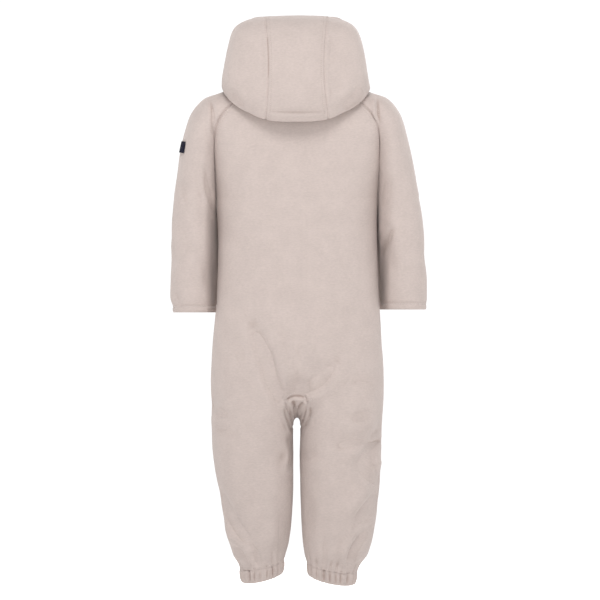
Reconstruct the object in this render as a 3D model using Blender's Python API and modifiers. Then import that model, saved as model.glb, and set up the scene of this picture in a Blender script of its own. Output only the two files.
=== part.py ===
"""Hooded fleece one-piece for a small child, hollow and filled out as worn.

The outside of the cloth is one smooth skin, built from sections. Each sewn piece is the
part of that skin between its seams, given a thickness towards the inside. The front of
the garment faces -Y, its back +Y. The origin is where the wearer's shoulders carry it.
Tables are in millimetres, everything else is in metres.
"""
import math
from collections import namedtuple

import bmesh
import bpy
import numpy as np
from mathutils import Matrix, Vector

MM = 0.001

# Driving sizes
CLOTH = 2.0 * MM           # fleece wall
TAPE_CLOTH = 1.0 * MM      # woven zip tape
TAPE_DEPTH = 0.7 * MM      # the tape lies this far under the fleece
CUFF_CLOTH = 2.4 * MM      # two layers of fleece at the casings and bindings
LABEL_CLOTH = 0.8 * MM
SEAM_GAP = 0.3 * MM
GUSSET_TRIM = 0.4 * MM     # the gusset's seams turn sharply, so they need more room
ARMPIT_Z = -135.0          # lower end of the armholes
CROTCH_Z = -415.0          # seat seam at the corners of the gusset
CROTCH_RISE = 7.0          # the seat seam arches up by this much at the centre
RISE_FROM = 0.75           # share of the torso's length at which that arch begins
SPLIT_Z = -375.0           # the torso starts to divide into two legs here
SPLIT_LENGTH = 75.0
SADDLE_DROP = 31.0         # the gusset's middle hangs below the arch of the seat seam
GUSSET_TIP_DROP = 36.0     # the gusset's side tips run down the inner legs
GUSSET_SPREAD = 0.24       # the gusset bulges sideways by this share of its half width
GUSSET_SAG = 0.20          # and sags by this share of its depth
ZIP_HALF = 6.0             # from the centre to the edge of the zip's opening
ZIP_FLAP = 4.0             # at least this much cloth between that edge and the next column
ZIP_END_Z = -352.0         # lower end of the zip
CUFF_POINTS = 20           # round a sleeve cuff
LEG_CUFF_GATHERS = 18
GATHER_DEPTH = 1.3
ROUND = 1.80               # fullness of the torso's sections: 1.66 is an ellipse
LEG_ROUND = 1.72
SLEEVE_ROUND = 2.0
END_NEAR = 0.4 * MM        # points this close to a cuff's plane are on the cut end
END_SLANT = 30.0 * MM      # and no farther than this above or below its middle
BLEND_FROM = 20.0          # degrees between two panels up to which they share their normals
BLEND_OVER = 30.0          # and the degrees over which they stop sharing them

# Where the columns of the skin lie along each quarter of a section
BACK_COLUMNS = (0.0, 0.036, 0.074, 0.19, 0.31, 0.43, 0.55, 0.67, 0.78, 0.89, 1.0)
FRONT_COLUMNS = (0.0, 0.11, 0.22, 0.33, 0.45, 0.57, 0.69, 0.81, 0.926, 0.97, 1.0)
SLEEVE_COLUMNS = 7         # along each half of a sleeve's section
YOKE_ROWS = 9
TORSO_ROWS = 11
LEG_ROWS = 12
SLEEVE_ROWS = 9
GUSSET_ROWS = 8
ARCH = 2                   # the gusset meets the back and the fronts over this many columns
ARCH_TURN = 0.42           # where a leg's section meets the corner of the gusset

# The yoke, from the neck seam down to the armpit: its lines at the centre back, the back
# raglan seam, the top of the sleeve, the front raglan seam and the centre front. Turn and
# sleeve_turn are how far the torso's and the sleeve's sections turn towards the armhole,
# pull is the sleeve's fullness, and narrow is what the right sleeve lacks of the left.
Yoke = namedtuple("Yoke", "down back raglan_back top raglan_front front turn sleeve_turn pull narrow")
YOKE = (
    Yoke(0.00, (44, 20), (48, 35, 22), (62, -3, 30), (50, -38, 3), (-56, -20), 50, -50, 34, 0),
    Yoke(0.20, (57, -6), (78, 48, 3), (100, -1, 11.5), (74, -49, -13), (-62, -36), 40, -22, 52, 0.6),
    Yoke(0.40, (64, -34), (100, 53, -17), (130, 0, 0), (94, -56, -31), (-66, -56), 46, 8, 74, 3),
    Yoke(0.55, (67, -57), (110, 50, -35), (145, 0, -18), (104, -56, -47), (-69, -74), 58, 32, 96, 4),
    Yoke(0.70, (69, -80), (113.5, 41, -60), (154, 0, -42), (110, -48, -67), (-71, -92), 72, 58, 124, 4),
    Yoke(0.85, (70, -107), (112.8, 25, -96), (162.5, 0, -78), (112, -30, -100), (-72.5, -112),
         84, 78, 152, 3.5),
    Yoke(1.00, (70.5, -135), (111.5, 0, -135), (169.5, 0, -130), (111.5, 0, -135), (-73.5, -135),
         90, 90, 172, 1.5),
)

Torso = namedtuple("Torso", "z left right back front")
TORSO = (
    Torso(-135, 111.5, 111.5, 70.5, -73.5),
    Torso(-190, 108.2, 110.2, 69.5, -74.5),
    Torso(-245, 109.0, 112.0, 70.0, -76.5),
    Torso(-290, 111.8, 113.8, 72.0, -77.5),
    Torso(-330, 115.4, 116.0, 75.0, -77.0),
    Torso(-372, 118.7, 118.7, 75.5, -74.5),
    Torso(-415, 118.0, 118.7, 71.0, -68.5),
    Torso(-460, 116.0, 117.0, 62.0, -60.0),
)

Leg = namedtuple("Leg", "z left_in left_out right_in right_out back front")
LEG = (
    Leg(-415, 4.5, 118.2, 4.5, 118.7, 69.0, -66.0),
    Leg(-447, 4.8, 117.2, 4.2, 117.4, 64.0, -62.0),
    Leg(-497, 5.2, 114.4, 3.8, 115.8, 57.0, -57.5),
    Leg(-546, 5.8, 105.4, 5.0, 111.6, 50.0, -52.0),
    Leg(-580, 8.2, 99.8, 6.8, 108.8, 46.5, -47.5),
    Leg(-613, 12.4, 91.8, 8.6, 101.4, 41.5, -42.0),
    Leg(-629, 16.4, 86.4, 11.2, 94.8, 37.0, -37.0),
    Leg(-640, 18.2, 80.4, 13.6, 86.0, 32.5, -32.5),
    Leg(-662, 18.6, 79.2, 13.0, 80.5, 31.5, -31.5),
)

# A leg ends on a slanting plane: lower on the outside and at the heel
LegEnd = namedtuple("LegEnd", "seam_z hem_z outward heelward")
LEG_END = {"left": LegEnd(-640.5, -658.0, -0.20, -0.20), "right": LegEnd(-644.0, -661.0, -0.17, -0.22)}

Sleeve = namedtuple("Sleeve", "z left_in left_out right_in right_out back front")
SLEEVE = (
    Sleeve(-135, 111.5, 169.5, 111.5, 168.0, 43, -43),
    Sleeve(-170, 111.2, 172.6, 112.8, 174.0, 42, -43),
    Sleeve(-215, 110.6, 174.0, 113.4, 176.8, 36.5, -42),
    Sleeve(-257, 112.0, 175.0, 114.8, 179.2, 31, -40.5),
    Sleeve(-275, 113.0, 174.2, 116.6, 179.0, 28, -38.5),
    Sleeve(-285, 114.2, 171.4, 119.6, 178.0, 25.5, -36),
    Sleeve(-294, 115.0, 171.0, 120.4, 179.0, 25.5, -36),
)
CUFF_SEAM_Z = {"left": -285.5, "right": -281.5}
CUFF_HEM_Z = {"left": -293.0, "right": -289.0}

# Rings of the cuffs, from the seam down to the hem: how far down, how far the ring stands
# out of the sleeve or leg, and how much of the gathers' depth it has
Ring = namedtuple("Ring", "down out gather")
BINDING = (Ring(0.0, 0.0, 0.0), Ring(0.5, 0.9, 0.0), Ring(1.0, 0.2, 0.0))
CASING = (Ring(0.0, 0.0, 0.15), Ring(0.3, 0.4, 1.0), Ring(0.7, -0.6, 1.0), Ring(1.0, -2.6, 0.8))

# The hood, from the neck seam up to the face opening, at guide lines from the centre
# back round to the centre front. Each line leaves the neck seam, folds over at its low
# point, and runs over the crown or along the cheek to the face opening.
HoodLine = namedtuple("HoodLine", "round neck rise low full high crown edge")
HOOD = (
    HoodLine(0.00, (0, 44, 21), (0, 66, 0), (0, 82, -29), (0, 103, 2), (0, 104, 58),
             (0, 64, 109), (0, -52, 118.5)),
    HoodLine(0.20, (39, 39, 22), (41, 62, 3), (43, 79, -26), (40.5, 99, 4), (40, 99, 57),
             (43, 61, 108), (45.5, -51, 117.5)),
    HoodLine(0.40, (57, 19, 27), (68, 41, 17), (82, 63, -9), (93.5, 70, 17), (91, 64, 62),
             (80, 40, 102), (66, -54, 112)),
    HoodLine(0.58, (61.5, -4, 30), (82, 9, 30), (101, 24, 14.5), (103, 12, 29), (98.5, 2, 56),
             (91, -12, 87), (81, -66, 89)),
    HoodLine(0.74, (55, -27, 15), (71, -33, 20), (87, -37, 22), (94, -42, 31), (92, -50, 44),
             (88, -60, 55), (81, -76, 57)),
    HoodLine(0.88, (37, -49, -9), (45, -56, -1), (53, -61, 5), (58.5, -65, 12), (59, -70, 20),
             (57, -74, 26), (52, -78, 30)),
    HoodLine(1.00, (0, -56.5, -19), (0, -59.5, -13), (0, -62.5, -7), (0, -65, 0), (0, -67.5, 7),
             (0, -70, 13), (0, -72.5, 19)),
)
HOOD_COLUMNS = (0.0, 0.1, 0.2, 0.27, 0.335, 0.4, 0.46, 0.52, 0.58, 0.66, 0.74, 0.81, 0.88, 0.935, 1.0)
HOOD_SEAM = 2              # the column on which the hood's side seams run
HOOD_ROWS = (0, 0.05, 0.10, 0.15, 0.19, 0.23, 0.27, 0.32, 0.38, 0.45, 0.52, 0.59, 0.66, 0.74, 0.82, 0.91, 1)
HOOD_HEM = 6.0             # width of the band round the face opening
HOOD_NARROW = 0.045        # the right half of the hood is narrower than the left
HOOD_NARROW_ROW = 8        # above this row, and fully so HOOD_NARROW_OVER rows higher
HOOD_NARROW_OVER = 5
HOOD_SEAT = 0.8            # between the hood's lower edge and the yoke
HOOD_ZIP_OUT = 0.25        # the hood's fronts curve in slightly less than its zip
PATH_SAMPLES = 300         # along each guide line of the hood

# Sleeve label: a woven strip over the outside of the left sleeve, in rows and columns of
# the yoke's grid
LABEL_ROWS = (6.85, 7.0, 7.5)
LABEL_COLUMNS = (5.3, 6.0, 7.0, 7.55)
LABEL_SEAT = 0.4 * MM

# Zip slider and its pull, in the slider's own directions: across, up the zip, outwards
SLIDER_WIDTH = 8.4
SLIDER_LENGTH = 11.0
SLIDER_HEIGHT = 2.5
SLIDER_BELOW_EDGE = 11.0   # from the top of the zip to the slider's middle
BRIDGE_WIDTH = 2.0
BRIDGE_BAR = 1.2
BRIDGE_CLEAR = 1.6         # between the slider's face and the bridge
BRIDGE_END = 4.2
BRIDGE_SUNK = 0.6          # its feet reach this far into the slider
BRIDGE_CORNER = 0.9
PULL_PIVOT_UP = 2.0
PULL_THICK = 0.9
PULL_WIDTH = 6.0
PULL_EYE = 3.2             # width of the eye that rides on the bridge
PULL_EYE_END = 8.6
PULL_LENGTH = 25.0
PULL_CORNER = 0.7
PULL_TIP = 1.8             # the chamfers at its lower end
PULL_HEIGHT = SLIDER_HEIGHT + BRIDGE_CLEAR / 2
SLIDER_TAPER = 0.72        # the slider narrows towards its lower end
SLIDER_EDGE = 0.5

# The largest folds: each a soft trough between two places on the skin
Fold = namedtuple("Fold", "start end width depth")
FOLDS = (
    Fold((30, 72, -405), (62, 70, -310), 16, 4.5),
    Fold((6, 74, -405), (-52, 72, -355), 15, 4.5),
    Fold((118, 10, -418), (92, 45, -408), 11, 4.0),
    Fold((-116, 20, -452), (-92, 48, -500), 15, 6.0),
    Fold((-112, 25, -470), (-60, 55, -478), 13, 3.5),
    Fold((-106, 22, -552), (-78, 44, -612), 14, 4.5),
    Fold((104, 20, -548), (72, 44, -602), 13, 4.0),
    Fold((9, 30, -478), (20, 44, -500), 10, 3.0),
    Fold((-40, -74, -380), (-20, -74, -320), 15, 4.0),
    Fold((48, -70, -390), (34, -76, -330), 15, 3.5),
    Fold((60, -52, -520), (96, -34, -548), 14, 4.5),
    Fold((-64, -52, -515), (-98, -34, -540), 14, 4.5),
    Fold((150, 38, -205), (172, 8, -225), 12, 4.0),
    Fold((-118, 30, -176), (-126, 30, -230), 11, 4.0),
    Fold((-150, -42, -190), (-176, -12, -214), 13, 4.0),
    Fold((140, -42, -196), (170, -16, -184), 12, 3.5),
)

Finish = namedtuple("Finish", "colour roughness metallic")
FLEECE = Finish((0.68, 0.58, 0.53), 0.95, 0.0)
TAPE = Finish((0.60, 0.51, 0.46), 0.85, 0.0)
LABEL = Finish((0.012, 0.012, 0.030), 0.7, 0.0)
METAL = Finish((0.62, 0.56, 0.52), 0.35, 1.0)

SIDES = {"left": 1.0, "right": -1.0}
PIECES = bpy.data.collections.new("fleece_overalls")
CUTTERS = bpy.data.collections.new("cutters")


def clear_scene():
    for item in list(bpy.data.objects):
        bpy.data.objects.remove(item, do_unlink=True)


def through(places, values, at):
    """A smooth line through rows of values, read at one place or many."""
    places = np.asarray(places, float)
    values = np.asarray(values, float)
    at = np.asarray(at, float)
    slopes = np.gradient(values, places, axis=0)
    row = np.clip(np.searchsorted(places, at, side="right") - 1, 0, len(places) - 2)
    span = places[row + 1] - places[row]
    along = np.clip((at - places[row]) / span, 0.0, 1.0)
    if values.ndim > 1:
        span = span[..., None]
        along = along[..., None]
    rest = 1.0 - along
    return (values[row] * (1 + 2 * along) * rest ** 2 + slopes[row] * span * along * rest ** 2
            + values[row + 1] * along ** 2 * (3 - 2 * along)
            - slopes[row + 1] * span * along ** 2 * rest)


def table(rows, key, columns, at):
    """Read named columns of a table of sections at a place given by its key column."""
    order = sorted(rows, key=lambda row: getattr(row, key))
    places = [getattr(row, key) for row in order]
    values = [[getattr(row, column) for column in columns] for row in order]
    return through(places, values, at)


def bow(start, leave, end, arrive, along):
    """A Hermite curve in plan between two points, with its end tangents."""
    along = np.asarray(along, float)[:, None]
    rest = 1.0 - along
    start, leave, end, arrive = (np.asarray(item, float)[None, :]
                                 for item in (start, leave, end, arrive))
    return (start * (1 + 2 * along) * rest ** 2 + leave * along * rest ** 2
            + end * along ** 2 * (3 - 2 * along) - arrive * along ** 2 * rest)


def smooth_step(value):
    value = min(max(value, 0.0), 1.0)
    return value * value * (3 - 2 * value)


def direction(degrees):
    return np.array([math.cos(math.radians(degrees)), math.sin(math.radians(degrees))])


def point_at(curve, x):
    """The point of a front row's curve that lies at a distance from the centre line."""
    low, high = 0.5, 1.0
    for _ in range(30):
        middle = (low + high) / 2
        if curve(np.array([middle]))[0][0] > x:
            low = middle
        else:
            high = middle
    return curve(np.array([low]))[0]


def meet_zip(row, curve):
    """Put the last column but one of a front row on the edge of the zip's opening, and
    keep the column before it clear of that edge."""
    row[-2] = point_at(curve, ZIP_HALF)
    if row[-3][0] < ZIP_HALF + ZIP_FLAP:
        row[-3] = point_at(curve, ZIP_HALF + ZIP_FLAP)
    return row


def yoke_row(down, side):
    """One row across the yoke of one side: centre back to raglan seam, over the sleeve
    and on to the centre front, in millimetres. The side is the wearer's left."""
    values = {}
    for name in Yoke._fields[1:]:
        column = [getattr(row, name) for row in YOKE]
        values[name] = through([row.down for row in YOKE], column, down)
    share = (values["turn"] / 90.0) ** 2
    for centre, raglan, sign in (("back", "raglan_back", 1), ("front", "raglan_front", -1)):
        middle = values[centre]
        seam = values[raglan]
        seam_flat = seam[:2]
        middle_flat = np.array([0.0, middle[0]])
        reach = np.linalg.norm(seam_flat - middle_flat)
        near = (1 - share) * reach + share * ROUND * abs(seam_flat[0])
        far = (1 - share) * reach + share * ROUND * abs(middle[0] - seam[1])
        turn = direction(-values["turn"]) * np.array([1, sign])

        def torso_curve(along, middle_flat=middle_flat, near=near, seam_flat=seam_flat,
                        turn=turn, far=far, middle=middle, seam=seam):
            flat = bow(middle_flat, (near, 0), seam_flat, turn * far, along)
            height = middle[1] + (seam[2] - middle[1]) * np.asarray(along) ** 2
            return np.column_stack([flat, height])

        top = values["top"]
        if side == "right" and sign > 0:
            top[0] -= values["narrow"]
        leave = direction(values["sleeve_turn"]) * np.array([1, sign]) * values["pull"]
        along = np.linspace(0, 1, SLEEVE_COLUMNS + 1)
        flat = bow(seam_flat, leave, top[:2], (0, -sign * values["pull"]), along)
        height = seam[2] + (top[2] - seam[2]) * along * (2 - along)
        sleeve = np.column_stack([flat, height])
        if sign > 0:
            back = torso_curve(BACK_COLUMNS)
            over_back = sleeve
        else:
            front = torso_curve(1 - np.array(FRONT_COLUMNS))
            front = meet_zip(front, lambda along, curve=torso_curve: curve(1 - along))
            over_front = sleeve[::-1]
    return np.vstack([back, over_back[1:], over_front[1:], front[1:]])


def torso_row(z, side):
    """One half section of the torso, from the centre back round to the centre front."""
    half, back, front = table(TORSO, "z", (side, "back", "front"), z)
    back_row = bow((0, back), (ROUND * half, 0), (half, 0), (0, -ROUND * back), BACK_COLUMNS)

    def front_curve(along):
        return bow((half, 0), (0, ROUND * front), (0, front), (-ROUND * half, 0), along)

    front_row = meet_zip(front_curve(FRONT_COLUMNS), front_curve)
    return np.vstack([back_row, front_row[1:]])


def leg_point(z, side, turn):
    """A point of a leg's section. Turn runs 0 at the inside of the leg, 1 at its back,
    2 at its outside and 3 at its front."""
    inner, outer, back, front = table(LEG, "z", (side + "_in", side + "_out", "back", "front"), z)
    middle = (inner + outer) / 2
    half = (outer - inner) / 2
    corner = [(inner, 0), (middle, back), (outer, 0), (middle, front)]
    turn = turn % 4.0
    quarter = int(turn)
    depth = back if quarter in (0, 1) else -front
    leaves = {0: (0, depth), 1: (half, 0), 2: (0, -depth), 3: (-half, 0)}[quarter]
    arrives = {0: (half, 0), 1: (0, -depth), 2: (-half, 0), 3: (0, depth)}[quarter]
    leaves = np.array(leaves) * LEG_ROUND
    arrives = np.array(arrives) * LEG_ROUND
    return bow(corner[quarter], leaves, corner[(quarter + 1) % 4], arrives, [turn - quarter])[0]


def leg_turns():
    """Turns of the leg columns that carry on from the torso's columns."""
    half = len(BACK_COLUMNS) - 1
    first = np.linspace(ARCH_TURN, 2.0, half - ARCH + 1)
    second = np.linspace(2.0, 4.0 - ARCH_TURN, half - ARCH + 1)
    return np.concatenate([first, second[1:]])


def split_share(z):
    """How far the torso has divided into legs at a height."""
    return smooth_step((SPLIT_Z - z) / SPLIT_LENGTH)


def lower_row(z, side):
    """A half section near and below the crotch, as columns of the torso."""
    torso = torso_row(z, side)
    share = split_share(z)
    if share == 0.0:
        return torso
    row = torso.copy()
    for column, turn in zip(range(ARCH, len(torso) - ARCH), leg_turns()):
        row[column] = (1 - share) * torso[column] + share * leg_point(z, side, turn)
    for corner, columns in ((ARCH, range(ARCH)),
                            (len(torso) - 1 - ARCH, range(len(torso) - ARCH, len(torso)))):
        shift = row[corner] - torso[corner]
        scale = row[corner][0] / torso[corner][0]
        for column in columns:
            row[column] = (torso[column][0] * scale, torso[column][1] + shift[1] * 1.02)
    return row


def torso_grid(side, first_row):
    """The torso from the armpit down to the seat seam; rows of (x, y, z)."""
    rows = [first_row]
    for step in range(1, TORSO_ROWS + 1):
        z = ARMPIT_Z + (CROTCH_Z - ARMPIT_Z) * step / TORSO_ROWS
        flat = lower_row(z, side)
        rise = CROTCH_RISE * smooth_step((step / TORSO_ROWS - RISE_FROM) / (1 - RISE_FROM))
        last = len(flat) - 1
        heights = [z + rise * max(0.0, 1 - (min(column, last - column) / ARCH) ** 2)
                   for column in range(len(flat))]
        rows.append(np.column_stack([flat, heights]))
    return np.array(rows)


def leg_end_height(end, level, x, y, middle):
    return level + end.outward * (x - middle) + end.heelward * y


def gusset_seam(side, top):
    """The seam between the gusset and one leg, from the back corner under the crotch to
    the front corner. The top row is the torso's last one."""
    back = top[ARCH]
    front = top[len(top) - 1 - ARCH]
    points = [back]
    for step in range(1, GUSSET_ROWS):
        share = step / GUSSET_ROWS
        z = CROTCH_Z - GUSSET_TIP_DROP * math.sin(math.pi * share) ** 0.8
        points.append(inner_point(side, share, z, back, front))
    points.append(front)
    return np.array(points)


def inner_point(side, share, z, back, front):
    """A point on the inside of a leg; share runs from its back to its front."""
    turn = ARCH_TURN * (1 - 2 * share)
    on_leg = leg_point(z, side, turn)
    chord = np.array([back[0], back[1] + (front[1] - back[1]) * (1 - math.cos(math.pi * share)) / 2])
    weight = max(split_share(z), smooth_step(3.0 * min(share, 1 - share)))
    if share in (0.0, 1.0):
        weight = split_share(z)
    flat = (1 - weight) * chord + weight * on_leg
    return np.array([flat[0], flat[1], z])


def leg_grid(side, top, seam):
    """A leg from the seat and gusset seams down to its cuff; closed rows of (x, y, z)."""
    end = LEG_END[side]
    turns = leg_turns()
    outer_top = top[ARCH:len(top) - ARCH]
    inner_top = seam[::-1][1:-1]
    start = np.vstack([outer_top, inner_top])
    rows = [start]
    for step in range(1, LEG_ROWS + 1):
        down = step / LEG_ROWS
        row = []
        slant = down ** 2
        for column in range(len(start)):
            z = start[column][2] + (end.seam_z - start[column][2]) * down
            if column < len(turns):
                share = split_share(z)
                flat = leg_point(z, side, turns[column])
                if share < 1.0:
                    flat = (1 - share) * torso_row(z, side)[column + ARCH] + share * flat
            else:
                share = 1 - (column - len(turns) + 1) / GUSSET_ROWS
                flat = inner_point(side, share, z, top[ARCH], top[len(top) - 1 - ARCH])[:2]
            inner, outer = table(LEG, "z", (side + "_in", side + "_out"), end.seam_z)
            lower = leg_end_height(end, 0.0, flat[0], flat[1], (inner + outer) / 2)
            row.append((flat[0], flat[1], z + slant * lower))
        rows.append(np.array(row))
    return np.array(rows)


def gusset_grid(top, seam):
    """Half of the gusset, from its middle line to a leg's seam."""
    last = len(top) - 1
    rows = []
    for step in range(GUSSET_ROWS + 1):
        share = step / GUSSET_ROWS
        dip = math.sin(math.pi * share)
        middle = top[0] + (top[last] - top[0]) * share
        middle[0] = 0.0
        middle[2] -= SADDLE_DROP * dip ** 0.8
        edge = seam[step]
        if step == 0:
            rows.append(top[:ARCH + 1])
            continue
        if step == GUSSET_ROWS:
            rows.append(top[last:last - ARCH - 1:-1])
            continue
        halfway = np.array([0.5 + GUSSET_SPREAD * dip, 0.5, 0.5 - GUSSET_SAG * dip])
        between = middle + (edge - middle) * halfway
        rows.append(np.array([middle, between, edge]))
    return np.array(rows)


def sleeve_grid(side, ring):
    """A sleeve below the armpit; closed rows of (x, y, z). It starts at the yoke's row."""
    rows = [ring]
    for step in range(1, SLEEVE_ROWS + 1):
        down = step / SLEEVE_ROWS
        z = ring[:, 2] + (CUFF_SEAM_Z[side] - ring[:, 2]) * down
        rows.append(sleeve_section(side, z, len(ring)))
    return np.array(rows)


def sleeve_section(side, heights, count):
    """One closed section of a sleeve, from its inner point round by the back."""
    points = []
    for column in range(count):
        z = heights[column]
        inner, outer, back, front = table(
            SLEEVE, "z", (side + "_in", side + "_out", "back", "front"), z)
        middle = (back + front) / 2
        pull = SLEEVE_ROUND * (back - front)
        along = 2 * column / count
        if along <= 1:
            flat = bow((inner, middle), (0, pull), (outer, middle), (0, -pull), [along])[0]
        else:
            flat = bow((outer, middle), (0, -pull), (inner, middle), (0, pull), [along - 1])[0]
        points.append((flat[0], flat[1], z))
    return np.array(points)


class Skin:
    """Faces of the outer skin, welded where they share points, each with its piece."""

    def __init__(self):
        self.points = []
        self.index = {}
        self.faces = []
        self.piece = []

    def point(self, place):
        key = tuple(int(round(value * 1000)) for value in place)
        if key not in self.index:
            self.index[key] = len(self.points)
            self.points.append(tuple(place))
        return self.index[key]

    def grid(self, rows, sign, piece_of, closed=False, upward=False):
        """Add a grid given in millimetres, with its rows going down unless they go upward.
        Sign mirrors it to the wearer's right."""
        rows = [[self.point((sign * x, y, z)) for x, y, z in row] for row in rows]
        width = len(rows[0]) if closed else len(rows[0]) - 1
        for r in range(len(rows) - 1):
            for c in range(width):
                d = (c + 1) % len(rows[0])
                corners = [rows[r][c], rows[r + 1][c], rows[r + 1][d], rows[r][d]]
                corners = [corner for k, corner in enumerate(corners) if corner != corners[k - 1]]
                if (sign > 0) != upward:
                    corners.reverse()
                if len(corners) > 2:
                    self.faces.append(corners)
                    self.piece.append(piece_of(r, c))
        return rows

    def arrays(self):
        return np.array(self.points) * MM, self.faces, np.array(self.piece)


def face_normals(points, faces):
    normals = []
    for face in faces:
        corners = points[face]
        if len(face) == 4:
            normal = np.cross(corners[2] - corners[0], corners[3] - corners[1])
        else:
            normal = np.cross(corners[1] - corners[0], corners[2] - corners[0])
        normals.append(normal / 2)
    return np.array(normals)


def point_normals(points, faces, wanted):
    """Point normals from the faces that are wanted."""
    total = np.zeros_like(points)
    normals = face_normals(points, faces)
    for number, face in enumerate(faces):
        if wanted[number]:
            for corner in face:
                total[corner] += normals[number]
    length = np.linalg.norm(total, axis=1, keepdims=True)
    return total / np.maximum(length, 1e-12)


def press_folds(points, normals):
    """Sink the largest folds into the skin."""
    moved = points.copy()
    for fold in FOLDS:
        start = np.array(fold.start) * MM
        run = np.array(fold.end) * MM - start
        along = np.clip(((points - start) @ run) / (run @ run), 0, 1)
        nearest = start + along[:, None] * run
        away = np.linalg.norm(points - nearest, axis=1)
        taper = 0.35 + 0.65 * np.sin(math.pi * (0.12 + 0.76 * along))
        push = fold.depth * MM * np.exp(-(away / (fold.width * MM)) ** 2) * taper
        moved -= normals * push[:, None]
    return moved


def wall_normals(points, faces, own_group):
    """Normals for the wall of one group of pieces. Where it meets the other group over a
    smooth seam the normals are shared, and in a crease each keeps its own."""
    shared = point_normals(points, faces, np.ones(len(faces), bool))
    own = point_normals(points, faces, own_group)
    other = point_normals(points, faces, ~own_group)
    result = own.copy()
    touching = (np.linalg.norm(own, axis=1) > 0.5) & (np.linalg.norm(other, axis=1) > 0.5)
    for number in np.where(touching)[0]:
        angle = math.degrees(math.acos(float(np.clip(own[number] @ other[number], -1, 1))))
        weight = smooth_step((angle - BLEND_FROM) / BLEND_OVER)
        mixed = shared[number] * (1 - weight) + own[number] * weight
        result[number] = mixed / np.linalg.norm(mixed)
    return result


def wall_object(name, points, normals, faces, depth, thickness, finish, trim=SEAM_GAP / 2):
    """Make one piece: its faces of the skin, trimmed back at the seams, as a closed wall."""
    used = sorted({corner for face in faces for corner in face})
    local = {corner: k for k, corner in enumerate(used)}
    outer = points[used].copy()
    normal = normals[used].copy()
    cells = [[local[corner] for corner in face] for face in faces]
    edges = {}
    for face in cells:
        for k, corner in enumerate(face):
            edges[(corner, face[(k + 1) % len(face)])] = True
    rim = [edge for edge in edges if (edge[1], edge[0]) not in edges]
    pull = np.zeros_like(outer)
    for a, b in rim:
        along = outer[b] - outer[a]
        along /= np.linalg.norm(along)
        for corner in (a, b):
            inward = np.cross(normal[corner], along)
            pull[corner] += inward / max(np.linalg.norm(inward), 1e-9)
    for corner in range(len(outer)):
        length = np.linalg.norm(pull[corner])
        if length > 1e-6:
            step = pull[corner] / length
            outer[corner] += step * trim * min(2.0 / max(length, 0.6), 2.0)
    top = outer - normal * depth
    bottom = outer - normal * (depth + thickness)
    mesh = bmesh.new()
    top_points = [mesh.verts.new(place) for place in top]
    bottom_points = [mesh.verts.new(place) for place in bottom]
    for face in cells:
        mesh.faces.new([top_points[corner] for corner in face])
        mesh.faces.new([bottom_points[corner] for corner in reversed(face)])
    for a, b in rim:
        mesh.faces.new((top_points[b], top_points[a], bottom_points[a], bottom_points[b]))
    mesh.normal_update()
    return finish_mesh(name, mesh, finish)


def finish_mesh(name, mesh, finish, smooth_angle=50.0):
    data = bpy.data.meshes.new(name)
    mesh.to_mesh(data)
    mesh.free()
    data.shade_smooth()
    data.set_sharp_from_angle(angle=math.radians(smooth_angle))
    data.materials.append(material(name, finish))
    item = bpy.data.objects.new(name, data)
    PIECES.objects.link(item)
    return item


def material(name, finish):
    made = bpy.data.materials.new(name)
    made.use_nodes = True
    shader = made.node_tree.nodes["Principled BSDF"]
    shader.inputs["Base Color"].default_value = (*finish.colour, 1.0)
    shader.inputs["Roughness"].default_value = finish.roughness
    shader.inputs["Metallic"].default_value = finish.metallic
    return made


def build_body(skin):
    """The yoke, torso, sleeves, legs and gusset. Returns the left yoke's point grid."""
    back_end = len(BACK_COLUMNS) - 1
    sleeve_end = back_end + 2 * SLEEVE_COLUMNS
    front_end = sleeve_end + len(FRONT_COLUMNS) - 1
    left_yoke = None
    for side, sign in SIDES.items():
        yoke = np.array([yoke_row(step / YOKE_ROWS, side) for step in range(YOKE_ROWS + 1)])

        def yoke_piece(row, column):
            if column < back_end:
                return "back"
            if column < sleeve_end:
                return "sleeve_" + side
            return ("zip_tape_" if column == front_end - 1 else "front_") + side

        numbers = skin.grid(yoke, sign, yoke_piece)
        left_yoke = left_yoke or numbers
        last_yoke = yoke[-1]
        first = np.vstack([last_yoke[:back_end + 1], last_yoke[sleeve_end + 1:]])
        torso = torso_grid(side, first)
        centre = torso.shape[1] - 2

        def torso_piece(row, column):
            if column < back_end:
                return "back"
            in_zip = column == centre and torso[row + 1][-1][2] > ZIP_END_Z
            return ("zip_tape_" if in_zip else "front_") + side

        skin.grid(torso, sign, torso_piece)
        seam = gusset_seam(side, torso[-1])
        skin.grid(gusset_grid(torso[-1], seam), sign, lambda row, column: "crotch_gusset")
        leg = leg_grid(side, torso[-1], seam)
        side_seam = back_end - ARCH
        inner_seam = len(leg_turns()) - 1 + GUSSET_ROWS // 2

        def leg_piece(row, column):
            return ("leg_front_" if side_seam <= column < inner_seam else "leg_back_") + side

        skin.grid(leg, sign, leg_piece, closed=True)
        sleeve = sleeve_grid(side, last_yoke[back_end:sleeve_end])
        skin.grid(sleeve, sign, lambda row, column: "sleeve_" + side, closed=True)
    return left_yoke


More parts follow.
